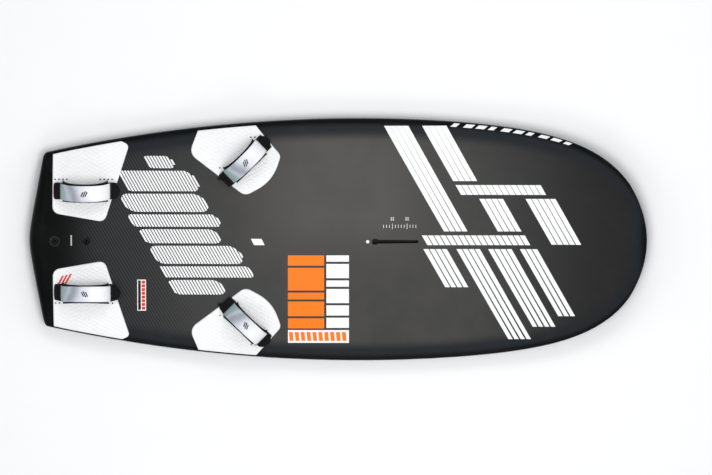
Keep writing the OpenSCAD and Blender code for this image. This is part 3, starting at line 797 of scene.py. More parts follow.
def note_rail(piece):
    """Keeps how far each point lies from the nearest part of the rail, seen from above."""
    xyz = np.zeros(len(piece.data.vertices)*3)
    piece.data.vertices.foreach_get("co", xyz)
    xyz = xyz.reshape(-1, 3)
    u = xyz[:, 0] + BOARD_L/2
    aside = half_width(np.clip(u, 0, BOARD_L)) - np.abs(xyz[:, 1])
    ends = np.minimum(u*TAIL_STRETCH, (BOARD_L - u)*NOSE_STRETCH)
    inboard = np.minimum(aside, ends)
    add_attribute(piece, "from_rail", inboard)
    print(piece.name, "reaches", round(float(inboard.max()), 3), "m in from its rail")


for skin, node in ((deck, "deck_shell"), (hull, "hull_shell")):
    note_rail(skin)
    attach(skin, "board")
    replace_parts(skin, node)

# %% [markdown]
# ## Graphics
# The printed shapes are thin films that follow the deck. Each one is cut from strips that
# lean the same way, so a strip is found from two numbers: its place across the lean, and where
# it starts and stops. A film is lifted a tenth of a millimetre above the paint and its back
# sits just inside it, so its edge is closed.

# %% Film colours


def film_paint(name, colour, roughness=0.42):
    """Printed film of one colour."""
    film = Finish(name, colour, roughness, Specular_IOR_Level=0.12)
    grain = film.effect("grain", Grains_per_metre=1600.0)
    darker = tuple(c*0.9 for c in colour)
    film.lay(darker, map_range(film.tree, grain["Mottle"], 0.35, 0.75), 0.6)
    film.lay((0.32, 0.31, 0.30), film.effect("dust", Amount=0.12)["Mask"])
    film.rough(grain["Mottle"], roughness - 0.06, roughness + 0.1)
    film.bump(grain["Height"], 0.00004, 0.4)
    return film.material


WHITE_FILM = film_paint("film_white", (0.90, 0.90, 0.90))
GREY_FILM = film_paint("film_grey", (0.46, 0.465, 0.47))
ORANGE_FILM = film_paint("film_orange", (0.93, 0.20, 0.008))
RED_FILM = film_paint("film_red", (0.74, 0.035, 0.015))
BLACK_FILM = film_paint("film_black", (0.008, 0.008, 0.009))
print("films:", len([m for m in bpy.data.materials if m.name.startswith("film_")]))

# %% Strips that lean across the deck
LEAN = math.radians(60.5)
LEAN_X, LEAN_Y = math.sin(LEAN), math.cos(LEAN)
LIFT, SINK, FILM_ANGLE = 0.00012, 0.0004, 30


def strip_grid(left, right, start, stop, step=0.005):
    """Plan grid of one strip: left and right are its edges across the lean, as functions of y.

    start and stop are either one number or three, for the left edge, the middle and the right.
    """
    start, stop = np.broadcast_to(start, 3), np.broadcast_to(stop, 3)
    rows = max(2, int(np.abs(stop - start).max()/step) + 2)
    y = start + (stop - start)*np.linspace(0, 1, rows)[:, None]
    across = np.stack([left(y[:, 0]), (left(y[:, 1]) + right(y[:, 1]))/2, right(y[:, 2])], axis=1)
    return np.stack([(across - y*LEAN_Y)/LEAN_X, y], axis=2)


def film_from_grids(name, grids, finish, lift=LIFT):
    """One film made of several plan grids, laid on the deck under them."""
    sheets = []
    for grid in grids:
        rows, cols = grid.shape[:2]
        place, normal = drop_on_deck(grid.reshape(-1, 2))
        front = (place + normal*lift).reshape(rows, cols, 3)
        back = (place - normal*SINK).reshape(rows, cols, 3)
        sheets.append((front, back))
    points, faces = join_sheets(sheets)
    make_piece(name, points, faces, finish, "board", FILM_ANGLE)
    print(name, len(grids), "strips")


def straight(value):
    """An edge that keeps the same place across the lean."""
    return lambda y: np.full_like(y, value)


# %% [markdown]
# ### Striped bars on the tail
# A stack of leaning bars crosses the tail, each made of many narrow white stripes with dark gaps.
# Every bar is a rectangle with round corners that has been leaned over. A stripe near its end
# is shortened by the round corner, so the bar's outline comes out of the stripes alone.

# %% Striped bars
STRIPE_PITCH, STRIPE_W = 0.0094, 0.0062


def across_at(x, y):
    """Place across the lean of a plan position."""
    return x*LEAN_X + y*LEAN_Y


def round_corner(near, radius):
    """How far an outline draws back this near to its end, with a round corner."""
    near = np.clip(near, 0, radius)
    return radius - np.sqrt(radius**2 - (radius - near)**2)


def bar_stripes(left_x, right_x, top, low, radius):
    """Stripes of one leaned bar, given by its ends at mid height, its sides and its corner."""
    middle = (top + low)/2
    first, last = across_at(left_x, middle), across_at(right_x, middle)
    grids = []
    for n in range(math.ceil(first/STRIPE_PITCH), int((last - STRIPE_W)/STRIPE_PITCH) + 1):
        p = n*STRIPE_PITCH + np.array([0, STRIPE_W/2, STRIPE_W])
        cut = round_corner(np.minimum(p - first, last - p), radius)
        if top - low - 2*cut.max() > STRIPE_W:
            grids.append(strip_grid(straight(p[0]), straight(p[2]), top - cut, low + cut))
    return grids


STRIPED_BARS = {
    "port": [(-0.668, -0.578, 0.298, 0.256, 0.012), (-0.752, -0.500, 0.247, 0.176, 0.016)],
    "middle": [(-0.750, -0.455, 0.167, 0.104, 0.032), (-0.722, -0.418, 0.095, 0.052, 0.012),
               (-0.690, -0.410, 0.043, -0.006, 0.026)],
    "starboard": [(-0.645, -0.340, -0.015, -0.078, 0.024),
                  (-0.618, -0.300, -0.087, -0.126, 0.012),
                  (-0.590, -0.395, -0.135, -0.186, 0.028)],
}
for where, rows in STRIPED_BARS.items():
    film_from_grids(f"stripes_{where}", [g for bar in rows for g in bar_stripes(*bar)],
                    WHITE_FILM)

# %% [markdown]
# ### Split bands on the nose
# The fore deck has a set of broad leaning bands. Each band is split lengthwise by dark lines
# that are hair-thin at the port end and open up to starboard, which makes the whole print look
# as if it were moving.

# %% Split bands
BAND_PITCH = 0.0185
SPLIT_START, SPLIT_END, SPLIT_POWER = 0.0003, 0.0058, 1.1
BANDS_TOP, BANDS_LOW = 0.402, -0.372


def split_gap(y):
    """Width of the dark line between two strips, wider towards starboard."""
    share = np.clip((BANDS_TOP - y)/(BANDS_TOP - BANDS_LOW), 0, 1)
    return SPLIT_START + (SPLIT_END - SPLIT_START)*share**SPLIT_POWER


def band_strips(first, top, low, count):
    """A band of several strips, given by its place across the lean and its count of strips."""
    grids = []
    for n in range(count):
        left = first + n*BAND_PITCH
        grids.append(strip_grid(lambda y, p=left: p + split_gap(y)/2,
                                lambda y, p=left: p + BAND_PITCH - split_gap(y)/2, top, low))
    return grids


BANDS = [
    ("aft", 0.337, 0.402, 0.036, 4), ("long", 0.452, 0.402, 0.212, 4),
    ("row_port", 0.452, 0.198, 0.164, 14), ("middle", 0.500, 0.150, 0.036, 4),
    ("fore", 0.640, 0.150, -0.010, 5), ("row_middle", 0.263, 0.022, -0.012, 17),
    ("low_aft", 0.244, -0.026, -0.160, 4), ("low_middle", 0.344, -0.026, -0.345, 4),
    ("low_long", 0.440, -0.026, -0.300, 4), ("low_fore", 0.536, -0.026, -0.262, 3),
]
for label, across, top, low, count in BANDS:
    film_from_grids(f"band_{label}", band_strips(across, top, low, count), WHITE_FILM)

# %% [markdown]
# ### Bars and labels amidships
# Two columns of plain bars stand side by side, closed by a white bar with leaning orange
# stripes. They and the small labels are upright rectangles, so one function that fills a box with
# a grid makes them all, and a table holds their places.

# %% Plain bars


def box_grid(x0, x1, y0, y1, slant=0.0, step=0.008):
    """Plan grid of an upright bar; slant leans its ends."""
    rows = max(2, int(abs(y1 - y0)/step) + 2)
    cols = max(3, int(abs(x1 - x0)/step) + 2)
    y, s = np.meshgrid(np.linspace(y1, y0, rows), np.linspace(0, 1, cols), indexing="ij")
    return np.stack([x0 + (x1 - x0)*s - slant*(y - y0), y], axis=2)


def bars(x0, x1, y0, shares, gap):
    """A row of bars across the deck, each one a share long, from y0 to starboard."""
    grids, y = [], y0
    for share in shares:
        grids.append(box_grid(x0, x1, y - share, y))
        y -= share + gap
    return grids


BAR_X, BARS_TOP, BARS_APART = (-0.1745, -0.0445, 0.0379), -0.048, 0.004
ORANGE_SHARES, ORANGE_GAP = (0.036, 0.080, 0.024, 0.052, 0.036), 0.0075
WHITE_SHARES, WHITE_GAP = (0.022, 0.050, 0.022, 0.050, 0.036, 0.036), 0.0080
film_from_grids("bars_orange", bars(BAR_X[0], BAR_X[1] - BARS_APART, BARS_TOP,
                                    ORANGE_SHARES, ORANGE_GAP), ORANGE_FILM)
film_from_grids("bars_white", bars(BAR_X[1] + BARS_APART, BAR_X[2], BARS_TOP,
                                   WHITE_SHARES, WHITE_GAP), WHITE_FILM)

# %% Closing bar and labels
CLOSING_STRIPES, CLOSING_PITCH = 10, 0.0205
RED_SQUARES, RED_PITCH = 8, 0.0132
closing_stripes = [(BAR_X[0] + 0.006 + CLOSING_PITCH*n, BAR_X[0] + 0.020 + CLOSING_PITCH*n,
                    -0.351, -0.319, 0.1) for n in range(CLOSING_STRIPES)]
red_squares = [(-0.6835, -0.6715, -0.2405 + RED_PITCH*n, -0.2300 + RED_PITCH*n)
               for n in range(RED_SQUARES)]
LABELS = [
    ("bar_closing", WHITE_FILM, LIFT, [(BAR_X[0], BAR_X[2], -0.358, -0.312)]),
    ("bar_closing_stripes", ORANGE_FILM, LIFT*2, closing_stripes),
    ("label_small_white", WHITE_FILM, LIFT, [(-0.292, -0.255, -0.012, 0.010, 0.5)]),
    ("dash_between_bolts", GREY_FILM, LIFT, [(-0.9305, -0.9255, -0.015, 0.0215)]),
    ("label_tail_frame", WHITE_FILM, LIFT, [(-0.699, -0.6685, -0.244, -0.134)]),
    ("label_tail_black", BLACK_FILM, LIFT*2, [(-0.696, -0.6865, -0.241, -0.137)]),
    ("label_tail_red", RED_FILM, LIFT*2, red_squares),
]
for name, finish, lift, boxes in LABELS:
    film_from_grids(name, [box_grid(*box) for box in boxes], finish, lift)

# %% [markdown]
# ### The ruler beside the mast slot
# A ruler with a tick every centimetre tells the sailor where the foil's mast stands. Every
# fifth tick is longer.

# %% Ruler
TICK_GAP, TICK_W, TICK_COUNT = 0.0102, 0.0016, 12
TICK_FROM, TICK_Y = 0.1584, 0.054
LONG_TICKS, LONG_HALF, SHORT_HALF = (3, 8), 0.0095, 0.0055
FIGURE_HALF, FIGURE_SIDE, FIGURE_LOW, FIGURE_TOP = 0.0022, 0.0035, 0.0735, 0.0865


def tick_x(n):
    """Place of a tick along the board."""
    return TICK_FROM + n*TICK_GAP


def tick(n):
    """One tick of the ruler, longer where a small mark stands beside it."""
    half = LONG_HALF if n in LONG_TICKS else SHORT_HALF
    return box_grid(tick_x(n) - TICK_W/2, tick_x(n) + TICK_W/2, TICK_Y - half, TICK_Y + half,
                    0, 0.004)


film_from_grids("ruler_ticks", [tick(n) for n in range(TICK_COUNT)], WHITE_FILM)
film_from_grids("ruler_marks", [
    box_grid(tick_x(n) + aside - FIGURE_HALF, tick_x(n) + aside + FIGURE_HALF,
             FIGURE_LOW, FIGURE_TOP)
    for n in LONG_TICKS for aside in (-FIGURE_SIDE, FIGURE_SIDE)], GREY_FILM)

# %% [markdown]
# ### Dashes along the port rail
# The rail turns down too steeply to drop a film on it from above, so these dashes are placed
# on the skin itself, by distance along the board and share across it.

# %% Rail dashes
DASH_FROM, DASH_TO, DASHES = 1.472, 1.905, 10
DASH_LONG, DASH_SHORT, DASH_LEAN = 0.030, 0.020, 0.5
DASH_OUT, DASH_MIDDLE, DASH_IN = 0.990, 0.976, 0.962


def rail_dash(n):
    """One leaning dash, laid by distance along the board and share of its half width."""
    start = DASH_FROM + (DASH_TO - DASH_FROM)*n/DASHES
    length = DASH_LONG if n % 3 else DASH_SHORT
    s, share = np.meshgrid(np.linspace(start, start + length, 5),
                           np.linspace(DASH_OUT, DASH_IN, 4), indexing="ij")
    s = s + (share - DASH_MIDDLE)*DASH_LEAN
    return deck_points(s, share, LIFT*2), deck_points(s, share, -SINK)


dash_points, dash_faces = join_sheets([rail_dash(n) for n in range(DASHES)])
make_piece("rail_dashes", dash_points, dash_faces, WHITE_FILM, "board", FILM_ANGLE)
print("rail_dashes", DASHES, "dashes")

# %% [markdown]
# ## Foot pads
# Each pad is a sheet of white EVA foam, moulded with a pattern of crossing grooves that grip
# bare feet, and rolled off at its edges. The grooves are real dents here. The mesh is laid out
# on the grooves' own diamond grid, so every groove runs along a line of points, and then the
# flat pattern is dropped on the deck and raised along the deck's own normals.

# %% Pad outlines
ENDS, SIDES = ("rear", "front"), ("port", "starboard")
FEET = {"rear": ((0.1058, 0.138), (0.290, 0.173)), "front": ((0.6917, 0.181), (0.8134, 0.073))}
FOOT_HOLE = {"rear": (1, 3), "front": (2, 3)}
SPARE_ROW = {"rear": (0.039, 0.039), "front": (0.035, 0.022)}
HOLE_GAP, HOLE_COUNT, HOLE_R = 0.0136, 4, 0.003
PAD_EDGE, PAD_T, PAD_CLEAR = 0.011, 0.008, 0.0002
PAD_TOP, OUTLINE_STEP = PAD_CLEAR + PAD_T, 0.003
PAD_CORNERS = {
    "rear": ((0.323, 0, 0), (0.349, 0.026, 0.014), (0.263, 0.278, 0.024),
             (0.082, 0.211, 0.026), (0.084, 0, 0)),
    "front": ((0.790, 0, 0), (0.877, 0.117, 0.014), (0.846, 0.205, 0.058),
              (0.752, 0.249, 0.022), (0.557, 0.082, 0.032), (0.588, 0, 0)),
}


def unit(v):
    """Vectors of length 1 in the same directions: one vector, or rows of them."""
    return v/np.linalg.norm(v, axis=-1, keepdims=True)


def pad_outline(end):
    """Plan outline of the port pad: rounded inboard corners, and an edge along the rail."""
    corners = PAD_CORNERS[end]
    at = [np.array((u, float(half_width(u)) - (PAD_EDGE if y == 0 else y)))
          for u, y, _ in corners]
    out = []
    for i in range(1, len(at) - 1):
        back, on = unit(at[i - 1] - at[i]), unit(at[i + 1] - at[i])
        start, stop = at[i] + back*corners[i][2], at[i] + on*corners[i][2]
        for s in np.linspace(0, 1, 9):
            out.append((start*(1 - s) + at[i]*s)*(1 - s) + (at[i]*(1 - s) + stop*s)*s)
    for s in np.linspace(0, 1, 40):
        u = corners[-1][0]*(1 - s) + corners[0][0]*s
        out.append(np.array((u, float(half_width(u)) - PAD_EDGE)))
    return np.array(out) - np.array((BOARD_L/2, 0))


# %% Even steps along a line


def length_along(line):
    """How far along a line each of its points lies."""
    return np.concatenate([[0], np.cumsum(np.linalg.norm(np.diff(line, axis=0), axis=1))])


def spread_evenly(line, count, closed=False):
    """The same line with evenly spaced points, and how far along it each one lies."""
    along = length_along(line)
    at = np.linspace(0, along[-1], count, endpoint=not closed)
    return np.stack([np.interp(at, along, line[:, k]) for k in range(2)], axis=1), at


def walk_outline(outline, step):
    """The same closed outline with points about a step apart."""
    closed = np.vstack([outline, outline[:1]])
    return spread_evenly(closed, int(length_along(closed)[-1]/step), True)[0]


# %% Near and inside an outline


def distance_to(outline, xy):
    """Distance from each plan position to the outline's sides."""
    a, b = outline, np.roll(outline, -1, axis=0)
    best = np.full(len(xy), 1.0)
    for start, stop in zip(a, b):
        side = stop - start
        s = np.clip(((xy - start) @ side)/(side @ side), 0, 1)
        best = np.minimum(best, np.linalg.norm(xy - start - s[:, None]*side, axis=1))
    return best


def inside(outline, xy):
    """Which plan positions lie inside the outline."""
    odd = np.zeros(len(xy), bool)
    for (x0, y0), (x1, y1) in zip(outline, np.roll(outline, -1, axis=0)):
        if y0 != y1:
            spans = (xy[:, 1] > min(y0, y1)) & (xy[:, 1] <= max(y0, y1))
            odd ^= spans & (xy[:, 0] < x0 + (xy[:, 1] - y0)*(x1 - x0)/(y1 - y0))
    return odd


# %% Screw holes of a pad


def pad_holes(end):
    """Middles of the screw holes of the port pad, spare ones and used ones."""
    holes = []
    for foot, (u, y_in) in enumerate(FEET[end]):
        for n in range(HOLE_COUNT):
            for row in (0, 1):
                holes.append((u + (n - FOOT_HOLE[end][foot])*HOLE_GAP - BOARD_L/2,
                              float(half_width(u)) - y_in + row*SPARE_ROW[end][foot]))
    return holes


# %% Diamond grid of grooves
GROOVE_PITCH, GROOVE_HALF, GROOVE_DEEP = 0.0125, 0.0017, 0.0011
GROOVE_LEAN = math.radians(28)
GROOVE_AXES = np.array(((math.sin(GROOVE_LEAN), math.cos(GROOVE_LEAN)),
                        (-math.sin(GROOVE_LEAN), math.cos(GROOVE_LEAN))))
GROOVE_STEPS = np.concatenate([np.array([-1, -0.5, 0, 0.5, 1])*GROOVE_HALF,
                               np.array([0.32, 0.5, 0.68])*GROOVE_PITCH])
PAD_ROLL, ROLL_SHARES = 0.0055, (0.12, 0.3, 0.55, 0.8, 1.0)
LATTICE_CLEAR, RING_CLEAR, HOLE_CLEAR = 0.0012, 0.0005, 0.0006


def groove_profile(t):
    """Depth share of a groove at a distance across it, round at the bottom."""
    off = np.abs((t/GROOVE_PITCH + 0.5) % 1 - 0.5)*GROOVE_PITCH
    return np.where(off < GROOVE_HALF, 0.5 + 0.5*np.cos(math.pi*off/GROOVE_HALF), 0)


def groove_dent(xy):
    """Depth share of the two crossing sets of grooves at plan positions."""
    return np.maximum(*(groove_profile(xy @ axis) for axis in GROOVE_AXES))


def lattice(outline):
    """Points on the grooves' own grid, well inside the outline."""
    lines = []
    for axis in GROOVE_AXES:
        t = outline @ axis
        base = np.arange(math.floor(t.min()/GROOVE_PITCH), math.ceil(t.max()/GROOVE_PITCH) + 1)
        lines.append((base[:, None]*GROOVE_PITCH + GROOVE_STEPS).ravel())
    ta, tb = np.meshgrid(*lines, indexing="ij")
    xy = np.stack([ta.ravel(), tb.ravel()], axis=1) @ np.linalg.inv(GROOVE_AXES).T
    xy = xy[inside(outline, xy)]
    return xy[distance_to(outline, xy) > PAD_ROLL + LATTICE_CLEAR]


# %% Points and triangles of a flat pad


def edge_rings(outline):
    """Copies of the outline, drawn inward over the rolled edge."""
    forward = np.roll(outline, -1, axis=0) - np.roll(outline, 1, axis=0)
    inward = unit(np.stack([-forward[:, 1], forward[:, 0]], axis=1))
    if not inside(outline, outline[:1] + inward[:1]*0.001)[0]:
        inward = -inward
    rings = [outline + inward*PAD_ROLL*s for s in ROLL_SHARES]
    return [r[distance_to(outline, r) > RING_CLEAR] for r in rings]


def from_holes(xy, middles):
    """Distance from each plan position to the nearest screw hole's middle."""
    return np.linalg.norm(xy[:, None] - middles[None], axis=2).min(axis=1)


def pad_plan(end):
    """The port pad laid flat: its outline, points and triangles, and its holes' middles."""
    outline = walk_outline(pad_outline(end), OUTLINE_STEP)
    rims = [np.array(circle(HOLE_R, hole, 14)) for hole in pad_holes(end)]
    rims = [r for r in rims if inside(outline, r.mean(axis=0)[None])[0]]
    middles = np.array([r.mean(axis=0) for r in rims])
    loose = np.concatenate([lattice(outline)] + edge_rings(outline))
    loose = loose[from_holes(loose, middles) > HOLE_R + HOLE_CLEAR]
    edges, count = [], 0
    for loop in (outline, *rims):
        edges += [(count + i, count + (i + 1) % len(loop)) for i in range(len(loop))]
        count += len(loop)
    flat = [Vector(p) for p in np.concatenate([outline, *rims, loose])]
    made = geometry.delaunay_2d_cdt(flat, edges, [], 0, 1e-6, False)
    xy = np.array([tuple(p) for p in made[0]])
    triangles = np.array(made[2])
    centre = xy[triangles].mean(axis=1)
    keep = inside(outline, centre) & (from_holes(centre, middles) > HOLE_R*0.97)
    return outline, xy, triangles[keep], middles


# %% Height and finish of the foam
EDGE_SHARE, FLAT_R, GROOVE_FADE, PUFF = 0.35, 0.006, 0.004, 0.0002


def border_edges(triangles):
    """Edges that only one triangle uses, in that triangle's direction."""
    sides = np.concatenate([triangles[:, [0, 1]], triangles[:, [1, 2]], triangles[:, [2, 0]]])
    keys = dict.fromkeys(map(tuple, sides.tolist()))
    return [(a, b) for a, b in keys if (b, a) not in keys]


def pad_height(xy, outline, middles):
    """Height of the foam: rolled off at the edge, dented along the grooves, flat at the holes."""
    edge = distance_to(outline, xy)
    s = np.clip(edge/PAD_ROLL, 0, 1)
    rolled = EDGE_SHARE + (1 - EDGE_SHARE)*np.sqrt(np.clip(1 - (1 - s)**2, 0, 1))
    away = from_holes(xy, middles)
    grooved = (np.clip((edge - PAD_ROLL)/GROOVE_FADE, 0, 1)
               * np.clip((away - FLAT_R)/GROOVE_FADE, 0, 1))
    puff = PUFF*np.sin(xy[:, 0]*61 + 1)*np.sin(xy[:, 1]*47)
    return PAD_T*rolled - GROOVE_DEEP*groove_dent(xy)*grooved + puff - PUFF


def eva_foam():
    """White foam with painted shade in its grooves, and dusty where feet stand."""
    foam = Finish("pad_eva", (0.92, 0.92, 0.92), 0.72, Sheen_Weight=0.25,
                  Sheen_Roughness=0.6)
    grain = foam.effect("grain", Grains_per_metre=2600.0)
    foam.lay((0.85, 0.87, 0.87), map_range(foam.tree, grain["Mottle"], 0.42, 0.75), 0.55)
    # Painted shade: the grooves are greyed by their depth, on top of the shade that the real dents
    # give.
    foam.lay((0.66, 0.70, 0.70), foam.attribute("dent")["Fac"], 0.3)
    foam.lay((0.40, 0.38, 0.35), foam.effect("dust", Amount=0.22)["Mask"])
    foam.lay((0.88, 0.88, 0.88), foam.effect("wear", Amount=0.4)["Mask"])
    foam.rough(grain["Height"], 0.62, 0.82)
    foam.bump(grain["Height"], 0.00014, 0.7)
    return foam.material


EVA = eva_foam()

# %% The four pads
for end in ENDS:
    outline, xy, triangles, middles = pad_plan(end)
    place, normal = drop_on_deck(xy)
    height = pad_height(xy, outline, middles)
    top = place + normal*(PAD_CLEAR + height)[:, None]
    low = place + normal*PAD_CLEAR
    count = len(xy)
    faces = triangles.tolist() + [[c + count, b + count, a + count] for a, b, c in
                                  triangles.tolist()]
    faces += [[b, a, a + count, b + count] for a, b in border_edges(triangles)]
    dents = groove_dent(xy)
    for side in SIDES:
        name = f"foot_pad_{end}_{side}"
        piece = make_piece(name, flip_side(np.vstack([top, low]), side), faces_for(faces, side),
                           EVA, "board", 50)
        add_attribute(piece, "dent", np.concatenate([dents, dents*0]))
        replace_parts(piece, f"pad_{end}_{side}")
        print(name, len(faces), "faces")

# %% Red mark on the starboard rear pad
RED_BARS, RED_W, RED_GROWTH, RED_LEAN = (-0.976, -0.966, -0.956), 0.0065, 0.0035, -0.55
MARK_LIFT, MARK_SINK = 0.0001, 0.0016
mark_grids = [box_grid(x, x + RED_W, -0.149 - RED_GROWTH*n, -0.120 + RED_GROWTH*n, RED_LEAN,
                       0.004) for n, x in enumerate(RED_BARS)]


def on_pad(grid):
    """Front and back of a mark that lies on the foam."""
    rows, cols = grid.shape[:2]
    place, normal = drop_on_deck(grid.reshape(-1, 2))
    top = place + normal*(PAD_TOP + MARK_LIFT)
    low = place + normal*(PAD_TOP - MARK_SINK)
    return top.reshape(rows, cols, 3), low.reshape(rows, cols, 3)


mark_points, mark_faces = join_sheets([on_pad(g) for g in mark_grids])
make_piece("pad_mark_red", mark_points, mark_faces, RED_FILM, "board", FILM_ANGLE)
print("pad_mark_red", len(mark_grids), "bars")

# %% [markdown]
# ## Footstraps
# A footstrap has a webbing band that carries the load, a padded cover outside it and a soft
# black lining inside it. The cover is sewn along both long edges, and the lining stands a few
# millimetres wider, so it shows as a black edge. All three follow one arch between the strap's
# two feet. Their flat, sewn parts are only 3 to 6 mm thick, so they are lofted directly: rings
# of points carried along the arch, with the crown, the sewn channel and small puckers worked
# into each ring.

# %% The arch of a strap
STRAP_H, STRAP_CROWN, STRAP_IN = 0.076, 2.5, 0.002
COVER_W, COVER_T, WEB_W, WEB_T, LINING_W, LINING_T = 0.055, 0.006, 0.050, 0.0026, 0.062, 0.005
WEB_DEPTH = COVER_T + GAP
LINING_DEPTH = WEB_DEPTH + WEB_T + GAP
STRAP_BASE, COVER_BASE = 0.015, 0.023
STRAP_SAG, SAG_FROM, SAG_POWER = 0.008, 0.02, 1.3


def foot_place(end, foot):
    """Where the middle of a strap's foot stands on the deck, on the port side."""
    u, y_in = FEET[end][foot]
    y = float(half_width(u)) - y_in
    return np.array((u - BOARD_L/2, y, float(deck_z(u, y))))


def deck_normal(end, foot):
    """The deck's upward direction under a foot of a strap."""
    x, y, _ = foot_place(end, foot)
    u, step = x + BOARD_L/2, 0.001
    return unit(np.array((float(deck_z(u - step, y) - deck_z(u + step, y)),
                          float(deck_z(u, y - step) - deck_z(u, y + step)), 2*step)))


def strap_frame(end):
    """The strap's own axes and origin: X from its aft foot to its fore foot, Z out of the pad."""
    aft, fore = foot_place(end, 0), foot_place(end, 1)
    x = unit(fore - aft)
    y = unit(np.cross(deck_normal(end, 0) + deck_normal(end, 1), x))
    z = np.cross(x, y)
    return np.stack([x, y, z]), (aft + fore)/2 + z*PAD_TOP, np.linalg.norm(fore - aft)/2


# %% Points along the arch


def arch_line(half, depth, base, rows):
    """Points and outward normals of the arch, evenly spaced from the aft end to the fore end."""
    a, h = half - STRAP_IN - depth, STRAP_H - depth
    t = np.linspace(math.pi, 0, 2001)
    x = a*np.sign(np.cos(t))*np.abs(np.cos(t))**(2/STRAP_CROWN)
    z = h*np.abs(np.sin(t))**(2/STRAP_CROWN)
    keep = z >= base
    line, at = spread_evenly(np.stack([x[keep], z[keep]], axis=1), rows)
    slope = np.gradient(line, axis=0)
    return line, unit(np.stack([-slope[:, 1], slope[:, 0]], axis=1)), at


def to_board(local, end):
    """Places of a strap's own points on the port side; its soft top sags a little inboard."""
    axes, origin, _ = strap_frame(end)
    sag = np.zeros_like(local)
    height = np.clip(local[..., 2] - SAG_FROM, 0, None)/(STRAP_H - SAG_FROM)
    sag[..., 1] = -STRAP_SAG*height**SAG_POWER
    return (local + sag) @ axes + origin


def arch_points(end, depth, base, rows, across, raise_by):
    """Points of a band: across is a list of places over its width, raise_by lifts each one."""
    line, normal, at = arch_line(strap_frame(end)[2], depth, base, rows)
    lift = raise_by(at[:, None], across[None, :])
    x = line[:, :1] + normal[:, :1]*lift
    z = line[:, 1:] + normal[:, 1:]*lift
    y = np.broadcast_to(across[None, :], x.shape)
    return np.stack([x, y, z], axis=2), at


# %% [markdown]
# ### Cloth finishes
# The weave needs to follow the cloth and not the room, so each band keeps its own directions in
# an attribute: metres along the strap and metres across it. The cover is a white coated cloth
# with a silver-blue sheen printed near its aft end.

# %% Cover cloth


def cover_cloth():
    """White coated cloth with a silver-blue sheen near its aft end."""
    cloth = Finish("cover_cloth", (0.90, 0.90, 0.92), 0.40, Sheen_Weight=0.2,
                   Sheen_Roughness=0.4, Coat_Weight=0.12, Coat_Roughness=0.35)
    tree = cloth.tree
    way = cloth.attribute("cloth_way")["Vector"]
    axes = split_xyz(tree, way)
    weave = cloth.effect("weave", Along=way, Threads_per_metre=1500.0)
    grain = cloth.effect("grain", Grains_per_metre=600.0)
    cloth.lay((0.82, 0.83, 0.86), map_range(tree, grain["Mottle"], 0.4, 0.7), 0.6)
    drift = math_node(tree, "MULTIPLY_ADD", grain["Mottle"], 0.05, axes[0])
    slanted = math_node(tree, "MULTIPLY_ADD", axes[1], 0.35, drift)
    cloth.lay((0.58, 0.60, 0.67), map_range(tree, slanted, 0.105, 0.175, 1.0, 0.0), 0.85)
    cloth.lay((0.16, 0.19, 0.25), math_node(
        tree, "MULTIPLY", map_range(tree, slanted, 0.062, 0.088),
        map_range(tree, slanted, 0.090, 0.122, 1.0, 0.0)), 0.75)
    cloth.lay((0.16, 0.30, 0.28), map_range(tree, slanted, 0.058, 0.080, 1.0, 0.0), 0.75)
    cloth.lay((0.55, 0.57, 0.60), weave["Gap"], 0.10)
    cloth.rough(grain["Mottle"], 0.34, 0.5)
    cloth.bump(weave["Height"], 0.00012, 0.55)
    return cloth.material


# %% Black cloths and thread


def black_cloth(name, threads, colour, gap_colour):
    """Dull black cloth with this many threads to a metre."""
    cloth = Finish(name, colour, 0.78, Sheen_Weight=0.03, Sheen_Roughness=0.5,
                   Specular_IOR_Level=0.1)
    way = cloth.attribute("cloth_way")["Vector"]
    weave = cloth.effect("weave", Along=way, Threads_per_metre=threads)
    grain = cloth.effect("grain", Grains_per_metre=1800.0)
    cloth.lay(gap_colour, weave["Gap"], 0.6)
    cloth.lay((0.10, 0.10, 0.105), cloth.effect("dust", Amount=0.12)["Mask"])
    cloth.rough(grain["Height"], 0.68, 0.86)
    cloth.bump(weave["Height"], 0.0003, 0.8)
    return cloth.material


def thread_paint():
    """Pale sewing thread."""
    thread = Finish("sewing_thread", (0.74, 0.75, 0.78), 0.6, Sheen_Weight=0.3)
    grain = thread.effect("grain", Grains_per_metre=4000.0)
    thread.lay((0.5, 0.51, 0.54), grain["Height"], 0.5)
    thread.bump(grain["Height"], 0.0001, 0.6)
    return thread.material


# %% Rubber and plastic


def moulded(name, colour, roughness, worn, shine=0.5):
    """Moulded rubber or plastic with worn edges."""
    part = Finish(name, colour, roughness, Specular_IOR_Level=shine)
    grain = part.effect("grain", Grains_per_metre=1700.0)
    part.lay(tuple(c*1.6 + 0.004 for c in colour),
             map_range(part.tree, grain["Mottle"], 0.4, 0.75), 0.5)
    part.lay(worn, part.effect("wear", Amount=0.7)["Mask"])
    part.lay((0.14, 0.135, 0.13), part.effect("dust", Amount=0.25)["Mask"])
    part.rough(grain["Height"], roughness - 0.08, roughness + 0.12)
    part.bump(grain["Height"], 0.00012, 0.6)
    return part.material


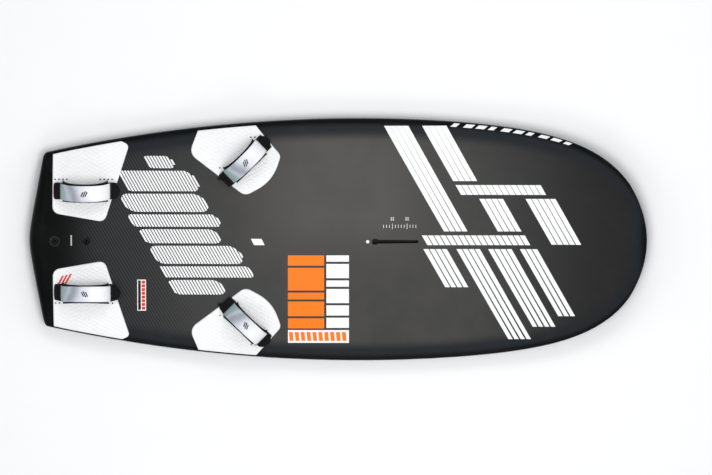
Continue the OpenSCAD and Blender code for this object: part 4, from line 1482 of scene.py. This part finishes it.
# %% Mix the strap's finishes
COVER = cover_cloth()
WEBBING = black_cloth("webbing_weave", 900.0, (0.020, 0.020, 0.021), (0.007, 0.007, 0.007))
LINING = black_cloth("lining_knit", 1500.0, (0.009, 0.009, 0.010), (0.004, 0.004, 0.004))
FLAP = black_cloth("flap_fabric", 1300.0, (0.006, 0.006, 0.007), (0.003, 0.003, 0.003))
THREAD = thread_paint()
RUBBER = moulded("tab_rubber", (0.008, 0.008, 0.009), 0.62, (0.04, 0.04, 0.04), 0.2)
PLASTIC = moulded("black_plastic", (0.003, 0.003, 0.003), 0.46, (0.05, 0.05, 0.05), 0.1)
PALE_PLASTIC = moulded("pale_plastic", (0.62, 0.63, 0.64), 0.38, (0.8, 0.8, 0.8))
print("strap finishes:", ", ".join(m.name for m in (COVER, WEBBING, LINING, FLAP, THREAD)))

# %% [markdown]
# ### Cover, webbing and lining
# A ring of the cover starts at one edge, crosses the crowned outer face with its two sewn
# channels, turns round the edge and comes back along the inner face.

# %% Rings of a band
SEAM_AT, SEAM_HALF, SEAM_DEEP = 0.0045, 0.0016, 0.0009
PUCKER, PUCKER_DEEP, PUCKER_HALF = 0.0062, 0.00016, 0.004
CROWN_DROP, SOFTNESS, END_ROUND, END_SHARE = 0.22, 0.00028, 0.004, 0.45
BAND_ROWS, WEBBING_ROWS, EDGE_TURN = 230, 120, 0.42
LINING_FLARE, FLARE_REACH = 0.22, 0.04


def band_ring(width, thick, edge_r, steps):
    """Across places and lifts of one ring: the outer face first, then the inner face."""
    half = width/2
    turn = np.linspace(math.pi/2, -math.pi/2, 7)[1:-1]
    outer = np.linspace(-half + edge_r, half - edge_r, steps)
    edge_y = half - edge_r + edge_r*np.cos(turn)
    edge_z = thick/2*np.sin(turn)
    inner = outer[::-1][::3]
    across = np.concatenate([outer, edge_y, inner, -edge_y[::-1]])
    lift = np.concatenate([np.full(steps, thick/2), edge_z, np.full(len(inner), -thick/2),
                           edge_z[::-1]])
    return across, lift


def band_lift(flat, outer, half, sewn):
    """The dressing of a band's ring: its crown, sewn channels, puckers and round ends."""
    def lift(at, y):
        from_seam = half - np.abs(y) - SEAM_AT
        channel = np.exp(-(from_seam/SEAM_HALF)**2)*np.where(outer, SEAM_DEEP, 0)
        pucker = PUCKER_DEEP*np.sin(2*math.pi*at/PUCKER)*np.exp(-(from_seam/PUCKER_HALF)**2)
        soft = SOFTNESS*np.sin(at*58 + 1.3*y/half)*np.cos(y*90)
        ends = np.clip(np.minimum(at, at.max() - at)/END_ROUND, 0, 1)
        rounded = END_SHARE + (1 - END_SHARE)*np.sqrt(np.clip(1 - (1 - ends)**2, 0, 1))
        crowned = flat*(1 - CROWN_DROP*(np.abs(y)/half)**3)
        dressed = crowned + np.where(outer, soft, 0) + (pucker*outer if sewn else 0)
        return (dressed - (channel if sewn else 0))*rounded
    return lift


# %% A band along the arch


def note_cloth_way(piece, at, across):
    """Keeps the cloth's own directions on its points: metres along it and across it."""
    way = np.stack(np.broadcast_arrays(at[:, None], across[None, :], 0), axis=2)
    held = piece.data.attributes.new("cloth_way", "FLOAT_VECTOR", "POINT")
    held.data.foreach_set("vector", way.reshape(-1).astype(np.float32))


def sewn_band(part, end, side, width, thick, depth, base, finish, sewn, rows=BAND_ROWS,
              flare=0.0):
    """One band of a strap, carried along the arch and wider at its feet by the flare."""
    across, flat = band_ring(width, thick, thick*EDGE_TURN, 45)
    lift = band_lift(flat, flat > thick*0.49, width/2, sewn)
    local, at = arch_points(end, depth + thick/2, base, rows, across, lift)
    from_end = np.minimum(at, at[-1] - at)
    local[..., 1] *= (1 + flare*np.exp(-from_end/FLARE_REACH))[:, None]
    rings = to_board(local.reshape(-1, 3), end)
    faces = ring_faces(rows, len(across))
    if side == "port":
        faces = [f[::-1] for f in faces]
    piece = make_piece(f"{part}_{end}_{side}", flip_side(rings, side), faces, finish,
                       f"strap_{end}_{side}", 60)
    note_cloth_way(piece, at, across)
    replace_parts(piece, f"strap_{part}_{end}_{side}")
    return piece


# %% The bands of the four straps
STRAPS = [(end, side) for end in ENDS for side in SIDES]
for end, side in STRAPS:
    cover = sewn_band("cover", end, side, COVER_W, COVER_T, 0, COVER_BASE, COVER, True)
    webbing = sewn_band("webbing", end, side, WEB_W, WEB_T, WEB_DEPTH, STRAP_BASE, WEBBING,
                        False, WEBBING_ROWS)
    lining = sewn_band("lining", end, side, LINING_W, LINING_T, LINING_DEPTH, STRAP_BASE,
                       LINING, True, flare=LINING_FLARE)
print("straps:", len(STRAPS))

# %% [markdown]
# ### Stitches and the mark on the cover
# A row of stitches lies in each sewn channel. One stitch is a short thread with thin ends. The
# mark is a small film of three leaning bars on the crown of the cover.

# %% Stitches
STITCH_L, STITCH_GAP, STITCH_R, SEAM_END = 0.0034, 0.0046, 0.00038, 0.004
STITCH_RINGS = ((0.0, 0.35), (0.2, 0.9), (0.5, 1.1), (0.8, 0.9), (1.0, 0.35))
STITCH_SIDES, FINE_ROWS = 6, 1200


def cover_drop(y):
    """How far the cover's crowned face falls from its middle, this far to the side."""
    return CROWN_DROP*COVER_T/2*(np.abs(y)/COVER_W*2)**3


def stitch(line, normal, y):
    """One short thread along two points of the arch, thin at both ends."""
    direction = line[1] - line[0]
    rings = []
    for s, r in STITCH_RINGS:
        middle = line[0] + direction*s
        for angle in np.linspace(0, 2*math.pi, STITCH_SIDES, endpoint=False):
            out = STITCH_R*r*math.sin(angle) + STITCH_R*0.5*math.sin(math.pi*s)
            rings.append((middle[0] + normal[0]*out, y + STITCH_R*r*math.cos(angle),
                          middle[1] + normal[1]*out))
    return rings


def stitch_row(end, y):
    """A row of stitches that lies in the channel at this distance from the middle."""
    line, normal, at = arch_line(strap_frame(end)[2], 0, COVER_BASE, FINE_ROWS)
    lowered = line - normal*(SEAM_DEEP + cover_drop(y))
    rows = []
    for start in np.arange(SEAM_END, at[-1] - STITCH_L - SEAM_END, STITCH_GAP):
        i, j = np.searchsorted(at, (start, start + STITCH_L))
        rows.append(stitch((lowered[i], lowered[j]), normal[i], y))
    return rows


SEAM_Y = COVER_W/2 - SEAM_AT
one_stitch = ring_faces(len(STITCH_RINGS), STITCH_SIDES)
per_stitch = len(STITCH_RINGS)*STITCH_SIDES
for end, side in STRAPS:
    threads = stitch_row(end, SEAM_Y) + stitch_row(end, -SEAM_Y)
    faces = [[corner + n*per_stitch for corner in face]
             for n in range(len(threads)) for face in one_stitch]
    points = to_board(np.array(threads).reshape(-1, 3), end)
    make_piece(f"stitching_{end}_{side}", flip_side(points, side), faces_for(faces, side),
               THREAD, f"strap_{end}_{side}", 60)
print("stitches on the last strap:", len(threads))

# %% Mark on each cover
MARK_BARS = ((-0.0105, 0.016), (-0.0035, 0.021), (0.0035, 0.016))
MARK_BAR_W, MARK_LEAN, MARK_FACES = 0.0042, 0.45, (0.00045, -0.0006)


def mark_sheets(end):
    """Fronts and backs of the mark's bars, laid on the crowned face at the top of the arch."""
    line, normal, at = arch_line(strap_frame(end)[2], 0, COVER_BASE, FINE_ROWS)
    middle, sheets = at[-1]/2, []
    for along, tall in MARK_BARS:
        s, y = np.meshgrid(np.linspace(0, MARK_BAR_W, 4), np.linspace(tall/2, -tall/2, 9),
                           indexing="ij")
        place = middle + along + s + y*MARK_LEAN
        index = np.clip(np.searchsorted(at, place), 0, len(at) - 1)
        both = []
        for lift in MARK_FACES:
            xz = line[index] + normal[index]*(lift - cover_drop(y))[..., None]
            local = np.stack([xz[..., 0], y, xz[..., 1]], axis=2)
            both.append(to_board(local.reshape(-1, 3), end).reshape(local.shape))
        sheets.append(tuple(both))
    return sheets


for end, side in STRAPS:
    points, faces = join_sheets(mark_sheets(end))
    make_piece(f"cover_mark_{end}_{side}", flip_side(points, side), faces_for(faces, side),
               BLACK_FILM, f"strap_{end}_{side}", FILM_ANGLE)
print("bars in each cover's mark:", len(MARK_BARS))

# %% [markdown]
# ### End flaps
# At each foot the strap runs down into a black flap that folds outward over the plate and the
# screw and lies on the rubber tab. The flap is built in place and rides on no body, so it stays
# put while the strap leans.

# %% Flaps
FLAP_W, FLAP_T, FLAP_ROWS = 0.056, 0.0022, 46
FLAP_REACH = {"aft": 0.70, "fore": 1.05}
FLAP_NARROW = {"aft": 0.12, "fore": 0.62}
NARROW_L, NARROW_POWER = 0.024, 1.3
FLAP_DROOP, DROOP_L, FLAP_RIPPLE = 0.0016, 0.03, 0.00025
BLEND_FROM, BLEND_TO = (0.012, 0.009), (-0.006, 0.025)
FLAP_PATH = ((0.026, 0.0042), (0.0245, 0.0062), (0.021, 0.0095), (0.014, 0.0128),
             (0.0055, 0.0136), (0.0008, 0.0150), (-0.0012, 0.0185), (-0.0023, 0.0235),
             (-0.0041, 0.0295))


def smooth_path(points, rows):
    """A smooth line through given points, evenly spaced."""
    points = np.array(points)
    padded = np.vstack([2*points[0] - points[1], points, 2*points[-1] - points[-2]])
    out = []
    for a, b, c, d in zip(padded, padded[1:], padded[2:], padded[3:]):
        for s in np.linspace(0, 1, 12, endpoint=False):
            out.append(0.5*(2*b + (c - a)*s + (2*a - 5*b + 4*c - d)*s**2
                            + (3*b - a - 3*c + d)*s**3))
    return spread_evenly(np.array(out + [points[-1]]), rows)


def flap_piece(end, side, foot):
    """A flap from its tip on the rubber tab up to where the strap's cover starts."""
    half = strap_frame(end)[2]
    sign = -1 if foot == "aft" else 1
    line, at = smooth_path([(x*FLAP_REACH[foot] if x > 0 else x, z) for x, z in FLAP_PATH],
                           FLAP_ROWS)
    slope = np.gradient(line, axis=0)
    normal = unit(np.stack([slope[:, 1], -slope[:, 0]], axis=1))
    across, flat = band_ring(FLAP_W, FLAP_T, FLAP_T*0.45, 29)
    share = np.abs(across)/(FLAP_W/2)
    narrow = 1 - FLAP_NARROW[foot]*np.clip(1 - at/NARROW_L, 0, 1)**NARROW_POWER
    droop = -FLAP_DROOP*share**3*np.clip(1 - at/DROOP_L, 0, 1)[:, None]
    ripple = FLAP_RIPPLE*np.sin(at*260)[:, None]*np.cos(across*120)[None, :]
    lift = flat[None, :] + droop + ripple
    x = sign*(half + line[:, :1] + normal[:, :1]*lift)
    z = line[:, 1:] + normal[:, 1:]*lift
    local = np.stack([x, across[None, :]*narrow[:, None], z], axis=2)
    points = to_board(local.reshape(-1, 3), end)
    faces = ring_faces(len(at), len(across))
    if (foot == "aft") == (side == "starboard"):
        faces = [f[::-1] for f in faces]
    piece = make_piece(f"flap_{end}_{side}_{foot}", flip_side(points, side), faces, FLAP,
                       None, 60)
    note_cloth_way(piece, at, across)
    low, high = to_board(np.array([[sign*(half + out), 0, up]
                                   for out, up in (BLEND_FROM, BLEND_TO)]), end)
    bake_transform(piece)


for end, side in STRAPS:
    for foot in ("aft", "fore"):
        flap_piece(end, side, foot)

# %% [markdown]
# ## Finishes for the CAD pieces
# The boxes, the vent, the plugs, the tabs, the plates and the screws already have their exact
# shape, so they stay as they are and get a finish: moulded black plastic, rubber, turned
# stainless steel. The core and the dense blocks are closed in by the skins, and still get the
# foam that they are made of.

# %% Metal and foam


def steel_finish():
    """Turned stainless steel."""
    steel = Finish("screw_steel", (0.52, 0.52, 0.53), 0.32, Metallic=1.0)
    grain = steel.effect("grain", Grains_per_metre=3000.0)
    steel.lay((0.36, 0.36, 0.37), map_range(steel.tree, grain["Mottle"], 0.4, 0.7), 0.5)
    steel.lay((0.75, 0.75, 0.76), steel.effect("wear", Amount=0.6)["Mask"])
    steel.rough(grain["Height"], 0.24, 0.42)
    steel.bump(grain["Height"], 0.00005, 0.4)
    return steel.material


def bead_foam(name, colour, beads):
    """Foam of pressed beads, with this many of them to a metre."""
    foam = Finish(name, colour, 0.85)
    cells = foam.tree.nodes.new("ShaderNodeTexVoronoi")
    cells.inputs["Scale"].default_value = beads
    foam.tree.links.new(foam.place, cells.inputs["Vector"])
    foam.lay(tuple(c*0.72 for c in colour),
             map_range(foam.tree, cells.outputs["Distance"], 0.35, 0.7), 0.7)
    foam.rough(cells.outputs["Distance"], 0.75, 0.95)
    foam.bump(cells.outputs["Distance"], 0.0006, 0.6)
    return foam.material


STEEL = steel_finish()
CORE = bead_foam("core_foam", (0.82, 0.81, 0.76), 260.0)
DENSE = bead_foam("dense_foam", (0.56, 0.42, 0.28), 800.0)
print("metal and foam:", STEEL.name, CORE.name, DENSE.name)

# %% Put a finish on each CAD piece
CAD_FINISH = {
    "foam_core": CORE, "foil_block": DENSE, "mast_track_block": DENSE, "foil_box": PLASTIC,
    "mast_track_box": PLASTIC, "vent_housing": PLASTIC, "vent_o_ring": RUBBER,
    "vent_screw": PALE_PLASTIC, "plug": PLASTIC, "strap_tabs": RUBBER, "strap_plates": PLASTIC,
    "strap_screws": STEEL,
}
hidden = {node for piece in bpy.data.objects if "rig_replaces" in piece
          for node in piece["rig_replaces"]}
for node, obj in frame["nodes"].items():
    if node in hidden:
        continue
    finish = next(f for start, f in CAD_FINISH.items() if node.startswith(start))
    if not obj.data.materials:
        obj.data.materials.append(finish)
    for slot in obj.material_slots:
        slot.material = finish
print("CAD pieces kept:", len(frame["nodes"]) - len(hidden))

# %% [markdown]
# ## Floor
# A plain pale floor catches the board's soft shadow. A curved studio wall would hide the horizon
# in a low view, but from above a wide flat sheet does the same with four points.

# %% Floor
FLOOR_REACH = 14


def studio_floor():
    """A flat sheet under the board, kept out of the part."""
    floor = Finish("studio_floor", (0.90, 0.90, 0.90), 0.9)
    grain = floor.effect("grain", Grains_per_metre=60.0)
    floor.lay((0.86, 0.86, 0.865), grain["Mottle"], 0.4)
    points = [(x*FLOOR_REACH, y*FLOOR_REACH, 0) for x, y in ((-1, -1), (1, -1), (1, 1), (-1, 1))]
    make_piece("floor", points, [[0, 1, 2, 3]], floor.material, None)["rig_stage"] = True


studio_floor()
print("floor, metres each way:", 2*FLOOR_REACH)

# %% [markdown]
# The finished board has to be as big as the CAD model. Both boxes are printed: the frame's
# near the start, the finished board's here.

# %% Print the finished size
low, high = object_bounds()
print("visual size:", [round(x, 4) for x in high - low])
